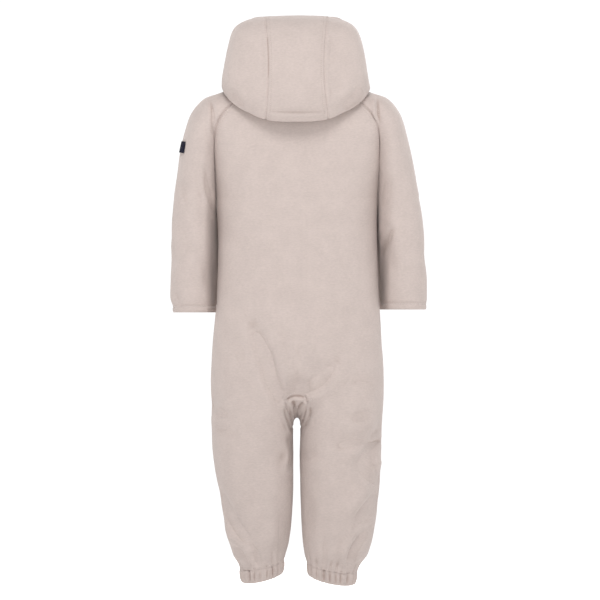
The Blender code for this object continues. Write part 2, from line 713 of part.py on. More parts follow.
def hood_paths():
    """Points of the hood's columns, from the neck seam to the face opening, with the
    rows of the band last."""
    names = HoodLine._fields[1:]
    lines = [np.array([getattr(line, name) for name in names], float) for line in HOOD]
    rounds = [line.round for line in HOOD]
    flip = np.array([-1.0, 1.0, 1.0])
    lines = [lines[1] * flip] + lines + [lines[-2] * flip]
    rounds = [-rounds[1]] + rounds + [2 - rounds[-2]]
    neck_ring = yoke_row(0.0, "left")
    ring_angle = np.arctan2(neck_ring[:, 0], neck_ring[:, 1])
    columns = []
    for place in HOOD_COLUMNS:
        guide = through(rounds, np.array(lines), place)
        angle = math.atan2(guide[0][0], guide[0][1])
        for axis in range(3):
            guide[0][axis] = np.interp(angle, ring_angle, neck_ring[:, axis])
        guide[0][2] += HOOD_SEAT
        samples = np.linspace(0, len(guide) - 1, PATH_SAMPLES)
        path = through(np.arange(len(guide)), guide, samples)
        lengths = np.linalg.norm(np.diff(path, axis=0), axis=1)
        run = np.concatenate([[0], np.cumsum(lengths)])
        whole = run[-1] - HOOD_HEM
        wanted = list(np.array(HOOD_ROWS) * whole) + [whole + HOOD_HEM / 2, run[-1]]
        points = np.column_stack([np.interp(wanted, run, path[:, axis]) for axis in range(3)])
        columns.append(points)
    edge = columns[-1] + np.array([ZIP_HALF, HOOD_ZIP_OUT, 0.0])
    columns.insert(len(columns) - 1, edge)
    return np.array(columns).transpose(1, 0, 2)


def build_hood(skin):
    rows = hood_paths()
    band = len(HOOD_ROWS) - 1
    for side, sign in SIDES.items():

        def hood_piece(row, column):
            if column == rows.shape[1] - 2:
                return "zip_top_" + side
            if row >= band:
                return "hood_hem"
            return "hood_centre" if column < HOOD_SEAM else "hood_" + side

        half = rows.copy()
        if side == "right":
            for number, row in enumerate(half):
                share = min(1.0, max(0.0, (number - HOOD_NARROW_ROW) / HOOD_NARROW_OVER))
                beside_zip = row[:, 0] > ZIP_HALF + 1
                row[beside_zip, 0] *= 1 - HOOD_NARROW * share
        skin.grid(half, sign, hood_piece, upward=True)
    return rows


def ring_wall(name, rings, thickness):
    """A closed band from rings of outer points, as a wall towards the inside."""
    skin = Skin()
    skin.grid(rings, 1.0, lambda row, column: name, closed=True)
    points, faces = skin.arrays()[:2]
    normals = level_ends(points, point_normals(points, faces, np.ones(len(faces), bool)))
    wall_object(name, points, normals, faces, 0.0, thickness, FLEECE, trim=0.0)


def build_sleeve_cuff(side, sign):
    """The narrow binding round the end of a sleeve."""
    seam, hem = CUFF_SEAM_Z[side], CUFF_HEM_Z[side]
    rings = []
    for row in BINDING:
        ring = sleeve_section(side, np.full(CUFF_POINTS, seam), CUFF_POINTS)
        centre = ring.mean(axis=0)
        away = ring - centre
        ring = centre + away * (1 + row.out / np.linalg.norm(away, axis=1)[:, None])
        ring[:, 0] *= sign
        ring[:, 2] = seam - SEAM_GAP / 2 / MM + (hem - seam) * row.down
        rings.append(ring if sign > 0 else ring[::-1])
    ring_wall("cuff_" + side, rings, CUFF_CLOTH)


def build_leg_cuff(side, sign):
    """The gathered casing at the end of a leg."""
    end = LEG_END[side]
    inner, outer = table(LEG, "z", (side + "_in", side + "_out"), end.seam_z)
    middle = (inner + outer) / 2
    count = LEG_CUFF_GATHERS * 4
    rings = []
    for row in CASING:
        level = end.seam_z + (end.hem_z - end.seam_z) * row.down - SEAM_GAP / 2 / MM
        ring = []
        for k in range(count):
            flat = leg_point(end.seam_z, side, 4.0 * k / count)
            away = flat - np.array([middle, 0.0])
            away /= np.linalg.norm(away)
            wave = GATHER_DEPTH * row.gather * math.cos(math.pi * k / 2)
            flat = flat + away * (row.out + wave)
            ring.append((sign * flat[0], flat[1], leg_end_height(end, level, flat[0], flat[1], middle)))
        rings.append(ring if sign > 0 else ring[::-1])
    ring_wall("leg_cuff_" + side, rings, CUFF_CLOTH)


def build_label(points, normals, numbers):
    """The sleeve label, made from points of the sleeve's skin, moved out."""
    start = len(BACK_COLUMNS) - 1
    numbers = np.array(numbers)
    grid_points = points[numbers][:, start:]
    grid_normals = normals[numbers][:, start:]

    def blend(grid, row, column):
        r, c = int(row), int(column)
        u, v = row - r, column - c
        return ((grid[r, c] * (1 - v) + grid[r, c + 1] * v) * (1 - u)
                + (grid[r + 1, c] * (1 - v) + grid[r + 1, c + 1] * v) * u)

    skin = Skin()
    raised = [[(blend(grid_points, row, column)
                + blend(grid_normals, row, column) * (LABEL_SEAT + LABEL_CLOTH)) / MM
               for column in LABEL_COLUMNS] for row in LABEL_ROWS]
    skin.grid(raised, 1.0, lambda row, column: "sleeve_label")
    places, faces = skin.arrays()[:2]
    label_normals = point_normals(places, faces, np.ones(len(faces), bool))
    wall_object("sleeve_label", places, label_normals, faces, 0.0, LABEL_CLOTH, LABEL, trim=0.0)


def build_zip_hardware(centre_line):
    """The slider on the closed zip near the chin, and its pull, which hangs from it."""
    path = centre_line * MM
    run = np.concatenate([[0], np.cumsum(np.linalg.norm(np.diff(path, axis=0), axis=1))])
    at = run[-1] - SLIDER_BELOW_EDGE * MM
    seat = Vector([float(np.interp(at, run, path[:, axis])) for axis in range(3)])
    above = Vector([float(np.interp(at + 3 * MM, run, path[:, axis])) for axis in range(3)])
    up = (above - seat).normalized()
    across = Vector((1.0, 0.0, 0.0))
    out = across.cross(up).normalized()
    if out.y > 0:
        out = -out
    frame = bpy.data.objects.new("slider_seat", None)
    PIECES.objects.link(frame)
    turn = Matrix((across, up, out)).transposed()
    lift = (SEAM_GAP - TAPE_DEPTH) * out
    frame.matrix_world = Matrix.Translation(seat + lift) @ turn.to_4x4()
    bpy.context.view_layer.update()
    build_slider(frame)
    pivot = frame.matrix_world @ Vector((0, PULL_PIVOT_UP * MM, PULL_HEIGHT * MM))
    build_pull(pivot)


def build_slider(frame):
    mesh = bmesh.new()
    bmesh.ops.create_cube(mesh, size=1.0)
    bmesh.ops.scale(mesh, verts=mesh.verts,
                    vec=(SLIDER_WIDTH * MM, SLIDER_LENGTH * MM, SLIDER_HEIGHT * MM))
    bmesh.ops.translate(mesh, verts=mesh.verts, vec=(0, 0, SLIDER_HEIGHT * MM / 2))
    for vert in mesh.verts:
        if vert.co.y < 0:
            vert.co.x *= SLIDER_TAPER
    body = finish_mesh("zip_slider", mesh, METAL)
    add_bevel(body, SLIDER_EDGE * MM)
    inside = SLIDER_HEIGHT + BRIDGE_CLEAR
    outside = inside + BRIDGE_BAR
    foot = SLIDER_HEIGHT - BRIDGE_SUNK
    profile = [(BRIDGE_END, foot), (BRIDGE_END, outside - BRIDGE_CORNER),
               (BRIDGE_END - BRIDGE_CORNER, outside), (-BRIDGE_END + BRIDGE_CORNER, outside),
               (-BRIDGE_END, outside - BRIDGE_CORNER), (-BRIDGE_END, foot),
               (-BRIDGE_END + BRIDGE_BAR, foot), (-BRIDGE_END + BRIDGE_BAR, inside),
               (BRIDGE_END - BRIDGE_BAR, inside), (BRIDGE_END - BRIDGE_BAR, foot)]
    bridge = flat_outline("slider_bridge", [profile], BRIDGE_WIDTH, METAL, CUTTERS)
    bridge.rotation_euler = (math.pi / 2, 0, math.pi / 2)
    bpy.context.view_layer.update()
    solid = as_mesh(bridge)
    solid.data.transform(solid.matrix_world)
    solid.matrix_world = Matrix.Identity(4)
    solid.parent = frame
    solid.hide_render = True
    solid.display_type = "WIRE"
    body.parent = frame
    union = body.modifiers.new("bridge", "BOOLEAN")
    union.operation = "UNION"
    union.solver = "EXACT"
    union.object = solid


def build_pull(pivot):
    """A flat tab whose eye goes round the bridge; it hangs straight down."""
    half = PULL_WIDTH / 2
    top = PULL_THICK / 2
    eye = PULL_EYE / 2
    outline = [(-half, top - PULL_CORNER), (-half + PULL_CORNER, top),
               (half - PULL_CORNER, top), (half, top - PULL_CORNER),
               (half, -PULL_LENGTH + PULL_TIP), (half - PULL_TIP, -PULL_LENGTH),
               (-half + PULL_TIP, -PULL_LENGTH), (-half, -PULL_LENGTH + PULL_TIP)]
    hole = [(-eye, -top), (-eye, -PULL_EYE_END + PULL_CORNER), (-eye + PULL_CORNER, -PULL_EYE_END),
            (eye - PULL_CORNER, -PULL_EYE_END), (eye, -PULL_EYE_END + PULL_CORNER), (eye, -top)]
    pull = flat_outline("zip_pull", [outline, hole], PULL_THICK, METAL, PIECES)
    pull.rotation_euler = (math.pi / 2, 0, 0)
    pull.location = pivot
    bpy.context.view_layer.update()
    as_mesh(pull)


def flat_outline(name, outlines, thickness, finish, collection):
    """A flat plate from closed outlines in millimetres, centred on its plane."""
    curve = bpy.data.curves.new(name, "CURVE")
    curve.dimensions = "2D"
    curve.fill_mode = "BOTH"
    curve.extrude = thickness * MM / 2
    for outline in outlines:
        spline = curve.splines.new("POLY")
        spline.points.add(len(outline) - 1)
        for point, (x, y) in zip(spline.points, outline):
            point.co = (x * MM, y * MM, 0, 1)
        spline.use_cyclic_u = True
    curve.materials.append(material(name, finish))
    item = bpy.data.objects.new(name, curve)
    collection.objects.link(item)
    return item


def as_mesh(item):
    """Replace a curve object by a welded mesh object."""
    graph = bpy.context.evaluated_depsgraph_get()
    data = bpy.data.meshes.new_from_object(item.evaluated_get(graph))
    mesh = bmesh.new()
    mesh.from_mesh(data)
    bmesh.ops.remove_doubles(mesh, verts=mesh.verts, dist=0.001 * MM)
    mesh.to_mesh(data)
    mesh.free()
    name, place, homes = item.name, item.matrix_world.copy(), list(item.users_collection)
    bpy.data.objects.remove(item, do_unlink=True)
    solid = bpy.data.objects.new(name, data)
    solid.matrix_world = place
    for home in homes:
        home.objects.link(solid)
    return solid


def add_bevel(item, width):
    bevel = item.modifiers.new("edges", "BEVEL")
    bevel.width = width
    bevel.segments = 2
    bevel.limit_method = "ANGLE"


def cut_pieces(skin, groups):
    """Turn a skin into walls, one for each of its pieces."""
    points, faces, pieces = skin.arrays()
    normals = point_normals(points, faces, np.ones(len(faces), bool))
    points = press_folds(points, normals)
    group_normals = {}
    for group in groups:
        inside = np.array([name.startswith(group) for name in pieces])
        group_normals[group] = level_ends(points, wall_normals(points, faces, inside))
    outside = np.array([not name.startswith(tuple(groups)) for name in pieces])
    rest_normals = level_ends(points, wall_normals(points, faces, outside))
    for name in sorted(set(pieces)):
        own = [faces[k] for k in np.where(pieces == name)[0]]
        wall = rest_normals
        for group in groups:
            if name.startswith(group):
                wall = group_normals[group]
        if name.startswith("zip_"):
            wall_object(name, points, wall, own, TAPE_DEPTH, TAPE_CLOTH, TAPE)
        else:
            trim = GUSSET_TRIM if name == "crotch_gusset" else SEAM_GAP / 2
            wall_object(name, points, wall, own, 0.0, CLOTH, FLEECE, trim)
    return points, wall_normals(points, faces, np.ones(len(faces), bool))


def level_ends(points, normals):
    """Keep the cut ends at the cuffs flat, so that the next piece can meet them."""
    normals = normals.copy()
    for side, sign in SIDES.items():
        end = LEG_END[side]
        inner, outer = table(LEG, "z", (side + "_in", side + "_out"), end.seam_z)
        middle = (inner + outer) / 2
        leg_axis = np.array([-sign * end.outward, -end.heelward, 1.0])
        ends = (
            (np.array([0.0, 0.0, CUFF_SEAM_Z[side]]), np.array([0.0, 0.0, 1.0])),
            (np.array([sign * middle, 0.0, end.seam_z]), leg_axis / np.linalg.norm(leg_axis)),
        )
        for place, axis in ends:
            near = (np.abs((points - place * MM) @ axis) < END_NEAR) & (points[:, 0] * sign > 0)
            near &= np.abs(points[:, 2] - place[2] * MM) < END_SLANT
            flat = normals[near] - (normals[near] @ axis)[:, None] * axis
            normals[near] = flat / np.maximum(np.linalg.norm(flat, axis=1, keepdims=True), 1e-9)
    return normals


def main():
    clear_scene()
    for collection in (PIECES, CUTTERS):
        bpy.context.scene.collection.children.link(collection)
    body = Skin()
    left_yoke = build_body(body)
    points, normals = cut_pieces(body, ("sleeve",))
    build_label(points, normals, left_yoke)
    hood = Skin()
    rows = build_hood(hood)
    cut_pieces(hood, ())
    for side, sign in SIDES.items():
        build_sleeve_cuff(side, sign)
        build_leg_cuff(side, sign)
    build_zip_hardware(rows[:, -1])


main()
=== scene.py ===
"""Looks of the hooded fleece overalls, filled out as worn with nobody inside.

Every piece of cloth is drawn again on the form of its solid, from the same sections, with
finer folds, sunk seams, topstitching and rounded edges. Tables are in millimetres, and
everything else is in metres. The back of the garment faces +Y, and so does the camera.
"""
import math
from collections import namedtuple

import bmesh
import bpy
import numpy as np
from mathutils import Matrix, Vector, noise
from mathutils.kdtree import KDTree


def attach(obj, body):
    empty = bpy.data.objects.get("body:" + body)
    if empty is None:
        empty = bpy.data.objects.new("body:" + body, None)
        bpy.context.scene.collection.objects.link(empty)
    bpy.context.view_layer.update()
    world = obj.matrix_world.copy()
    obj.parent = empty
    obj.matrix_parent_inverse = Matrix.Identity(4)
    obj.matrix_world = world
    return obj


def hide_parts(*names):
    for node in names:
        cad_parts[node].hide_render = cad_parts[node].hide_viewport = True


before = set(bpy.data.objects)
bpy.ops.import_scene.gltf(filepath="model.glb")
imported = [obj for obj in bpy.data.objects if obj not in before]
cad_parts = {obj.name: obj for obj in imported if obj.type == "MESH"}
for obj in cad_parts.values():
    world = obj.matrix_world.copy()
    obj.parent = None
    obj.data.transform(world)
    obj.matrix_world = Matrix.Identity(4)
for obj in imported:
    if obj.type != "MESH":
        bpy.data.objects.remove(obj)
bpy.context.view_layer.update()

MM = 0.001
SIDES = {"left": 1.0, "right": -1.0}

# Driving sizes
CLOTH = 2.0 * MM           # fleece wall
TAPE_CLOTH = 1.0 * MM
TAPE_DEPTH = 0.7 * MM      # the zip tape lies this far under the fleece
LABEL_CLOTH = 0.7 * MM
LABEL_SEAT = 0.65 * MM     # from the sleeve's form to the underside of the label
SEAM_GAP = 0.3 * MM
ARMPIT_Z = -135.0
CROTCH_Z = -415.0
CROTCH_RISE = 7.0          # the seat seam rises by this much towards the middle
RISE_FROM = 0.75           # over the part of the torso below this share of its height
SPLIT_Z = -375.0           # where the torso begins to divide into legs
SPLIT_LENGTH = 75.0
SADDLE_DROP = 31.0         # the gusset's middle lies this far below the seat seam
GUSSET_TIP_DROP = 36.0     # and its sides this far down the legs
GUSSET_POWER = 0.8
GUSSET_SPREAD = 0.24
GUSSET_SAG = 0.20
GUSSET_ENDS = 8            # its ends take up the seat seam's shape over 1 / 8 of its length
ZIP_HALF = 6.0             # from the centre to the edge of the zip's opening
ZIP_FLAP = 4.0
ZIP_END_Z = -352.0
ROUND = 1.80               # tangents of the sections, as shares of their half sizes
LEG_ROUND = 1.72
SLEEVE_ROUND = 2.0
ARCH = 2                   # columns of the torso over the gusset, from the middle
ARCH_TURN = 0.42           # and where the last of them lies round the leg
STITCH_IN = 5.0            # the topstitching runs this far from its seam
SEAM_TRIM = 0.02 * MM      # pieces are trimmed back by this much where they are sewn

# Where the columns of a section lie along each quarter
BACK_COLUMNS = (0.0, 0.036, 0.074, 0.19, 0.31, 0.43, 0.55, 0.67, 0.78, 0.89, 1.0)
FRONT_COLUMNS = (0.0, 0.11, 0.22, 0.33, 0.45, 0.57, 0.69, 0.81, 0.926, 0.97, 1.0)
QUARTER = len(BACK_COLUMNS) - 1

# The yoke, from the neck seam down to the armpit: its lines at the centre back, the back
# raglan seam, the top of the sleeve, the front raglan seam and the centre front
Yoke = namedtuple(
    "Yoke", "down back raglan_back top raglan_front front turn sleeve_turn pull narrow")
YOKE = (
    Yoke(0.00, (44, 20), (48, 35, 22), (62, -3, 30), (50, -38, 3), (-56, -20),
         50, -50, 34, 0),
    Yoke(0.20, (57, -6), (78, 48, 3), (100, -1, 11.5), (74, -49, -13), (-62, -36),
         40, -22, 52, 0.6),
    Yoke(0.40, (64, -34), (100, 53, -17), (130, 0, 0), (94, -56, -31), (-66, -56),
         46, 8, 74, 3),
    Yoke(0.55, (67, -57), (110, 50, -35), (145, 0, -18), (104, -56, -47), (-69, -74),
         58, 32, 96, 4),
    Yoke(0.70, (69, -80), (113.5, 41, -60), (154, 0, -42), (110, -48, -67), (-71, -92),
         72, 58, 124, 4),
    Yoke(0.85, (70, -107), (112.8, 25, -96), (162.5, 0, -78), (112, -30, -100), (-72.5, -112),
         84, 78, 152, 3.5),
    Yoke(1.00, (70.5, -135), (111.5, 0, -135), (169.5, 0, -130), (111.5, 0, -135), (-73.5, -135),
         90, 90, 172, 1.5),
)

Torso = namedtuple("Torso", "z left right back front")
TORSO = (
    Torso(-135, 111.5, 111.5, 70.5, -73.5),
    Torso(-190, 108.2, 110.2, 69.5, -74.5),
    Torso(-245, 109.0, 112.0, 70.0, -76.5),
    Torso(-290, 111.8, 113.8, 72.0, -77.5),
    Torso(-330, 115.4, 116.0, 75.0, -77.0),
    Torso(-372, 118.7, 118.7, 75.5, -74.5),
    Torso(-415, 118.0, 118.7, 71.0, -68.5),
    Torso(-460, 116.0, 117.0, 62.0, -60.0),
)

Leg = namedtuple("Leg", "z left_in left_out right_in right_out back front")
LEG = (
    Leg(-415, 4.5, 118.2, 4.5, 118.7, 69.0, -66.0),
    Leg(-447, 4.8, 117.2, 4.2, 117.4, 64.0, -62.0),
    Leg(-497, 5.2, 114.4, 3.8, 115.8, 57.0, -57.5),
    Leg(-546, 5.8, 105.4, 5.0, 111.6, 50.0, -52.0),
    Leg(-580, 8.2, 99.8, 6.8, 108.8, 46.5, -47.5),
    Leg(-613, 12.4, 91.8, 8.6, 101.4, 41.5, -42.0),
    Leg(-629, 16.4, 86.4, 11.2, 94.8, 37.0, -37.0),
    Leg(-640, 18.2, 80.4, 13.6, 86.0, 32.5, -32.5),
    Leg(-662, 18.6, 79.2, 13.0, 80.5, 31.5, -31.5),
)

LegEnd = namedtuple("LegEnd", "seam_z hem_z outward heelward")
LEG_END = {
    "left": LegEnd(-640.5, -658.0, -0.20, -0.20),
    "right": LegEnd(-644.0, -661.0, -0.17, -0.22),
}

Sleeve = namedtuple("Sleeve", "z left_in left_out right_in right_out back front")
SLEEVE = (
    Sleeve(-135, 111.5, 169.5, 111.5, 168.0, 43, -43),
    Sleeve(-170, 111.2, 172.6, 112.8, 174.0, 42, -43),
    Sleeve(-215, 110.6, 174.0, 113.4, 176.8, 36.5, -42),
    Sleeve(-257, 112.0, 175.0, 114.8, 179.2, 31, -40.5),
    Sleeve(-275, 113.0, 174.2, 116.6, 179.0, 28, -38.5),
    Sleeve(-285, 114.2, 171.4, 119.6, 178.0, 25.5, -36),
    Sleeve(-294, 115.0, 171.0, 120.4, 179.0, 25.5, -36),
)
CUFF_SEAM_Z = {"left": -285.5, "right": -281.5}
CUFF_HEM_Z = {"left": -293.0, "right": -289.0}

# The hood, from the neck seam up to the face opening, at guide lines from the centre
# back round to the centre front
HoodLine = namedtuple("HoodLine", "round neck rise low full high crown edge")
HOOD = (
    HoodLine(0.00, (0, 44, 21), (0, 66, 0), (0, 82, -31.5), (0, 103, 2), (0, 104, 58),
             (0, 64, 109), (0, -52, 118.5)),
    HoodLine(0.20, (39, 39, 22), (41, 62, 3), (43, 79, -28), (40.5, 99, 4), (40, 99, 57),
             (43, 61, 108), (45.5, -51, 116)),
    HoodLine(0.40, (57, 19, 27), (68, 41, 17), (82, 63, -9), (93.5, 70, 17), (91, 64, 62),
             (80, 40, 102), (66, -54, 110.5)),
    HoodLine(0.58, (61.5, -4, 30), (82, 9, 30), (101, 24, 14.5), (103, 12, 29), (98.5, 2, 56),
             (91, -12, 87), (81, -66, 89)),
    HoodLine(0.74, (55, -27, 15), (71, -33, 20), (87, -37, 22), (94, -42, 31), (92, -50, 44),
             (88, -60, 55), (81, -76, 57)),
    HoodLine(0.88, (37, -49, -9), (45, -56, -1), (53, -61, 5), (58.5, -65, 12), (59, -70, 20),
             (57, -74, 26), (52, -78, 30)),
    HoodLine(1.00, (0, -56.5, -19), (0, -59.5, -13), (0, -62.5, -7), (0, -65, 0), (0, -67.5, 7),
             (0, -70, 13), (0, -72.5, 19)),
)
HOOD_COLUMNS = (0.0, 0.1, 0.2, 0.27, 0.335, 0.4, 0.46, 0.52, 0.58, 0.66, 0.74, 0.81, 0.88,
                0.935, 1.0)
HOOD_SEAM = 0.2            # where round the hood its side seams run
HOOD_ZIP_EDGE = 0.975      # and where the edge of the zip's opening is counted
HOOD_ROWS = (0, 0.05, 0.10, 0.15, 0.19, 0.23, 0.27, 0.32, 0.38, 0.45, 0.52, 0.59, 0.66, 0.74,
             0.82, 0.91, 1)
HOOD_HEM = 6.0             # width of the band round the face
HOOD_NARROW = 0.052        # the hood's right side is narrower by this share
HOOD_NARROW_ROW = 5        # from this row up
HOOD_NARROW_OVER = 4
HOOD_SEAT = 0.8            # it starts this far above the neck seam
HOOD_ZIP_OUT = 0.25
PATH_SAMPLES = 400
FRONT_SAMPLES = 400

LABEL_ROWS = (6.93, 7.48)     # in ninths of the yoke's height
LABEL_COLUMNS = (5.17, 7.45)  # in sevenths of the way over half the sleeve
YOKE_PARTS = 9.0
SLEEVE_PARTS = 7.0

# The largest folds, as in the solids: each a soft trough between two places on the skin
Fold = namedtuple("Fold", "start end width depth")
FOLDS = (
    Fold((30, 72, -405), (62, 70, -310), 16, 4.5),
    Fold((6, 74, -405), (-52, 72, -355), 15, 4.5),
    Fold((118, 10, -418), (92, 45, -408), 11, 4.0),
    Fold((-116, 20, -452), (-92, 48, -500), 15, 6.0),
    Fold((-112, 25, -470), (-60, 55, -478), 13, 3.5),
    Fold((-106, 22, -552), (-78, 44, -612), 14, 4.5),
    Fold((104, 20, -548), (72, 44, -602), 13, 4.0),
    Fold((9, 30, -478), (20, 44, -500), 10, 3.0),
    Fold((-40, -74, -380), (-20, -74, -320), 15, 4.0),
    Fold((48, -70, -390), (34, -76, -330), 15, 3.5),
    Fold((60, -52, -520), (96, -34, -548), 14, 4.5),
    Fold((-64, -52, -515), (-98, -34, -540), 14, 4.5),
    Fold((150, 38, -205), (172, 8, -225), 12, 4.0),
    Fold((-118, 30, -176), (-126, 30, -230), 11, 4.0),
    Fold((-150, -42, -190), (-176, -12, -214), 13, 4.0),
    Fold((140, -42, -196), (170, -16, -184), 12, 3.5),
)


# ---- sections of the form ----

def hermite(start, leave, end, arrive, along):
    """Points between two ends, on a curve with the tangents that it leaves and arrives by."""
    rest = 1.0 - along
    return (start * (1 + 2 * along) * rest ** 2 + leave * along * rest ** 2
            + end * along ** 2 * (3 - 2 * along) - arrive * along ** 2 * rest)


def through(places, values, at):
    """A smooth line through rows of values, read at one place or many."""
    places, values, at = (np.asarray(item, float) for item in (places, values, at))
    slopes = np.gradient(values, places, axis=0)
    row = np.clip(np.searchsorted(places, at, side="right") - 1, 0, len(places) - 2)
    span = places[row + 1] - places[row]
    along = np.clip((at - places[row]) / span, 0.0, 1.0)
    if values.ndim > 1:
        span, along = span[..., None], along[..., None]
    return hermite(values[row], slopes[row] * span, values[row + 1], slopes[row + 1] * span, along)


def table(rows, key, columns, at):
    """Read named columns of a table of sections at a place given by its key column."""
    order = sorted(rows, key=lambda row: getattr(row, key))
    places = [getattr(row, key) for row in order]
    values = [[getattr(row, column) for column in columns] for row in order]
    return through(places, values, at)


def bow(start, leave, end, arrive, along):
    """Such a curve in plan, read at many places."""
    ends = (np.asarray(item, float) for item in (start, leave, end, arrive))
    return hermite(*ends, np.asarray(along, float)[..., None])


def smooth_step(value):
    value = np.clip(value, 0.0, 1.0)
    return value * value * (3 - 2 * value)


def run_of(line):
    """How far along a line each of its points lies."""
    return np.concatenate([[0], np.cumsum(np.linalg.norm(np.diff(line, axis=0), axis=1))])


def read_at(at, places, points):
    """Points between those of a line, where at says, counted as places are."""
    return np.stack([np.interp(at, places, column) for column in points.T], axis=-1)


def direction(degrees):
    return np.array([math.cos(math.radians(degrees)), math.sin(math.radians(degrees))])


def pairs(x, y):
    return np.stack(np.broadcast_arrays(x, y), axis=-1).astype(float)


NEAR_SEAM = (0, 0.8, 1.6, 2.4, 3.2, 4.0, 4.6, 5.2, 5.8, 6.6, 8.0, 10.0)


def graded(width, fine_start, fine_end, step=3.0):
    """Places from 0 to 1 across a panel of that width, closest together by its seams."""
    start = NEAR_SEAM if fine_start else (0.0,)
    end = NEAR_SEAM if fine_end else (0.0,)
    middle = width - start[-1] - end[-1]
    count = max(2, round(middle / step))
    between = start[-1] + middle * np.arange(1, count) / count
    return np.concatenate([start, between, width - np.array(end[::-1])]) / width


# Places of the finer columns, counted in the solid's columns
PANEL_WIDTH = 139.0
SLEEVE_HALF = 100.0
ARCH_AT = np.concatenate([np.linspace(0, 1, 5), 1 + np.arange(1, 9) / 8])
WIDE_AT = (QUARTER - ARCH) * graded(PANEL_WIDTH, False, True)
BACK_AT = np.concatenate([ARCH_AT, ARCH + WIDE_AT[1:]])
FRONT_AT = QUARTER - np.concatenate([ARCH_AT, ARCH + WIDE_AT[1:]])[::-1]
SLEEVE_AT = graded(SLEEVE_HALF, True, False)
TORSO_AT = np.concatenate([BACK_AT, QUARTER + FRONT_AT[1:]])
LAST = 2 * QUARTER
ON_LEG = (TORSO_AT >= ARCH) & (TORSO_AT <= LAST - ARCH)
BACK_CORNER, FRONT_CORNER = (int(np.argmin(np.abs(TORSO_AT - at))) for at in (ARCH, LAST - ARCH))


def back_places(at):
    """Where the back's columns lie along its curve."""
    return np.interp(at, range(QUARTER + 1), BACK_COLUMNS)


def front_places(curve, at):
    """Where the front's columns lie along its curve; one is on the zip's opening."""
    places = np.linspace(0.5, 1.0, FRONT_SAMPLES)
    x = curve(places)[:, 0]
    knots = list(FRONT_COLUMNS)
    knots[-2] = np.interp(-ZIP_HALF, -x, places)
    knots[-3] = min(knots[-3], np.interp(-ZIP_HALF - ZIP_FLAP, -x, places))
    return np.interp(at, range(len(knots)), knots)


def yoke_row(down, side):
    """One row across the yoke of one side: centre back to raglan seam, over the sleeve
    and on to the centre front. The side is the wearer's left."""
    places = [row.down for row in YOKE]
    values = {name: through(places, [getattr(row, name) for row in YOKE], down)
              for name in Yoke._fields[1:]}
    share = (values["turn"] / 90.0) ** 2
    top = values["top"]
    if side == "right":
        top[0] -= values["narrow"]
    parts = []
    for centre, sign in (("back", 1), ("front", -1)):
        middle, seam = values[centre], values["raglan_" + centre]
        middle_flat = np.array([0.0, middle[0]])
        reach = np.linalg.norm(seam[:2] - middle_flat)
        near = (1 - share) * reach + share * ROUND * abs(seam[0])
        far = (1 - share) * reach + share * ROUND * abs(middle[0] - seam[1])
        turn = direction(-values["turn"]) * np.array([1, sign])

        def from_middle(along):
            flat = bow(middle_flat, (near, 0), seam[:2], turn * far, along)
            height = middle[1] + (seam[2] - middle[1]) * np.asarray(along) ** 2
            return np.column_stack([flat, height])

        def from_seam(along):
            return from_middle(1 - np.asarray(along))

        leave = direction(values["sleeve_turn"]) * np.array([1, sign]) * values["pull"]
        flat = bow(seam[:2], leave, top[:2], (0, -sign * values["pull"]), SLEEVE_AT)
        height = seam[2] + (top[2] - seam[2]) * SLEEVE_AT * (2 - SLEEVE_AT)
        sleeve = np.column_stack([flat, height])
        if centre == "back":
            parts += [from_middle(back_places(BACK_AT)), sleeve[1:]]
        else:
            parts += [sleeve[::-1][1:], from_seam(front_places(from_seam, FRONT_AT))[1:]]
    return np.vstack(parts)


def torso_row(z, side):
    """One half section of the torso, from the centre back round to the centre front."""
    half, back, front = table(TORSO, "z", (side, "back", "front"), z)
    back_row = bow((0, back), (ROUND * half, 0), (half, 0), (0, -ROUND * back),
                   back_places(BACK_AT))

    def front_curve(along):
        return bow((half, 0), (0, ROUND * front), (0, front), (-ROUND * half, 0), along)

    front_row = front_curve(front_places(front_curve, FRONT_AT))
    return np.vstack([back_row, front_row[1:]])


def torso_points(z, side, at):
    """Points of the torso's sections, each at its own height and column."""
    half, back, front = table(TORSO, "z", (side, "back", "front"), z).T
    front_at = np.interp(at - QUARTER, range(QUARTER + 1), FRONT_COLUMNS)
    behind = bow(pairs(0, back), pairs(ROUND * half, 0), pairs(half, 0), pairs(0, -ROUND * back),
                 back_places(at))
    before = bow(pairs(half, 0), pairs(0, ROUND * front), pairs(0, front),
                 pairs(-ROUND * half, 0), front_at)
    return np.where((at <= QUARTER)[:, None], behind, before)


def leg_points(z, side, turn):
    """Points of a leg's sections. Turn runs 0 at the inside of the leg, 1 at its back,
    2 at its outside and 3 at its front."""
    inner, outer, back, front = table(
        LEG, "z", (side + "_in", side + "_out", "back", "front"), z).T
    middle = (inner + outer) / 2
    half = (outer - inner) / 2
    turn = turn % 4.0
    quarter = turn.astype(int)
    pick = np.arange(len(turn))
    depth = np.where(quarter < 2, back, -front)
    corners = np.array([pairs(inner, 0), pairs(middle, back), pairs(outer, 0),
                        pairs(middle, front)])
    ways = np.array([pairs(0, depth), pairs(half, 0), pairs(0, -depth), pairs(-half, 0)])
    ways = ways * LEG_ROUND
    after = (quarter + 1) % 4
    return bow(corners[quarter, pick], ways[quarter, pick], corners[after, pick],
               ways[after, pick], turn - quarter)


def turn_of(at):
    """Turn of a leg's section for a column of the torso."""
    return np.interp(at, (ARCH, QUARTER, LAST - ARCH), (ARCH_TURN, 2.0, 4.0 - ARCH_TURN))


def split_share(z):
    """How far the torso has divided into legs at a height."""
    return smooth_step((SPLIT_Z - z) / SPLIT_LENGTH)


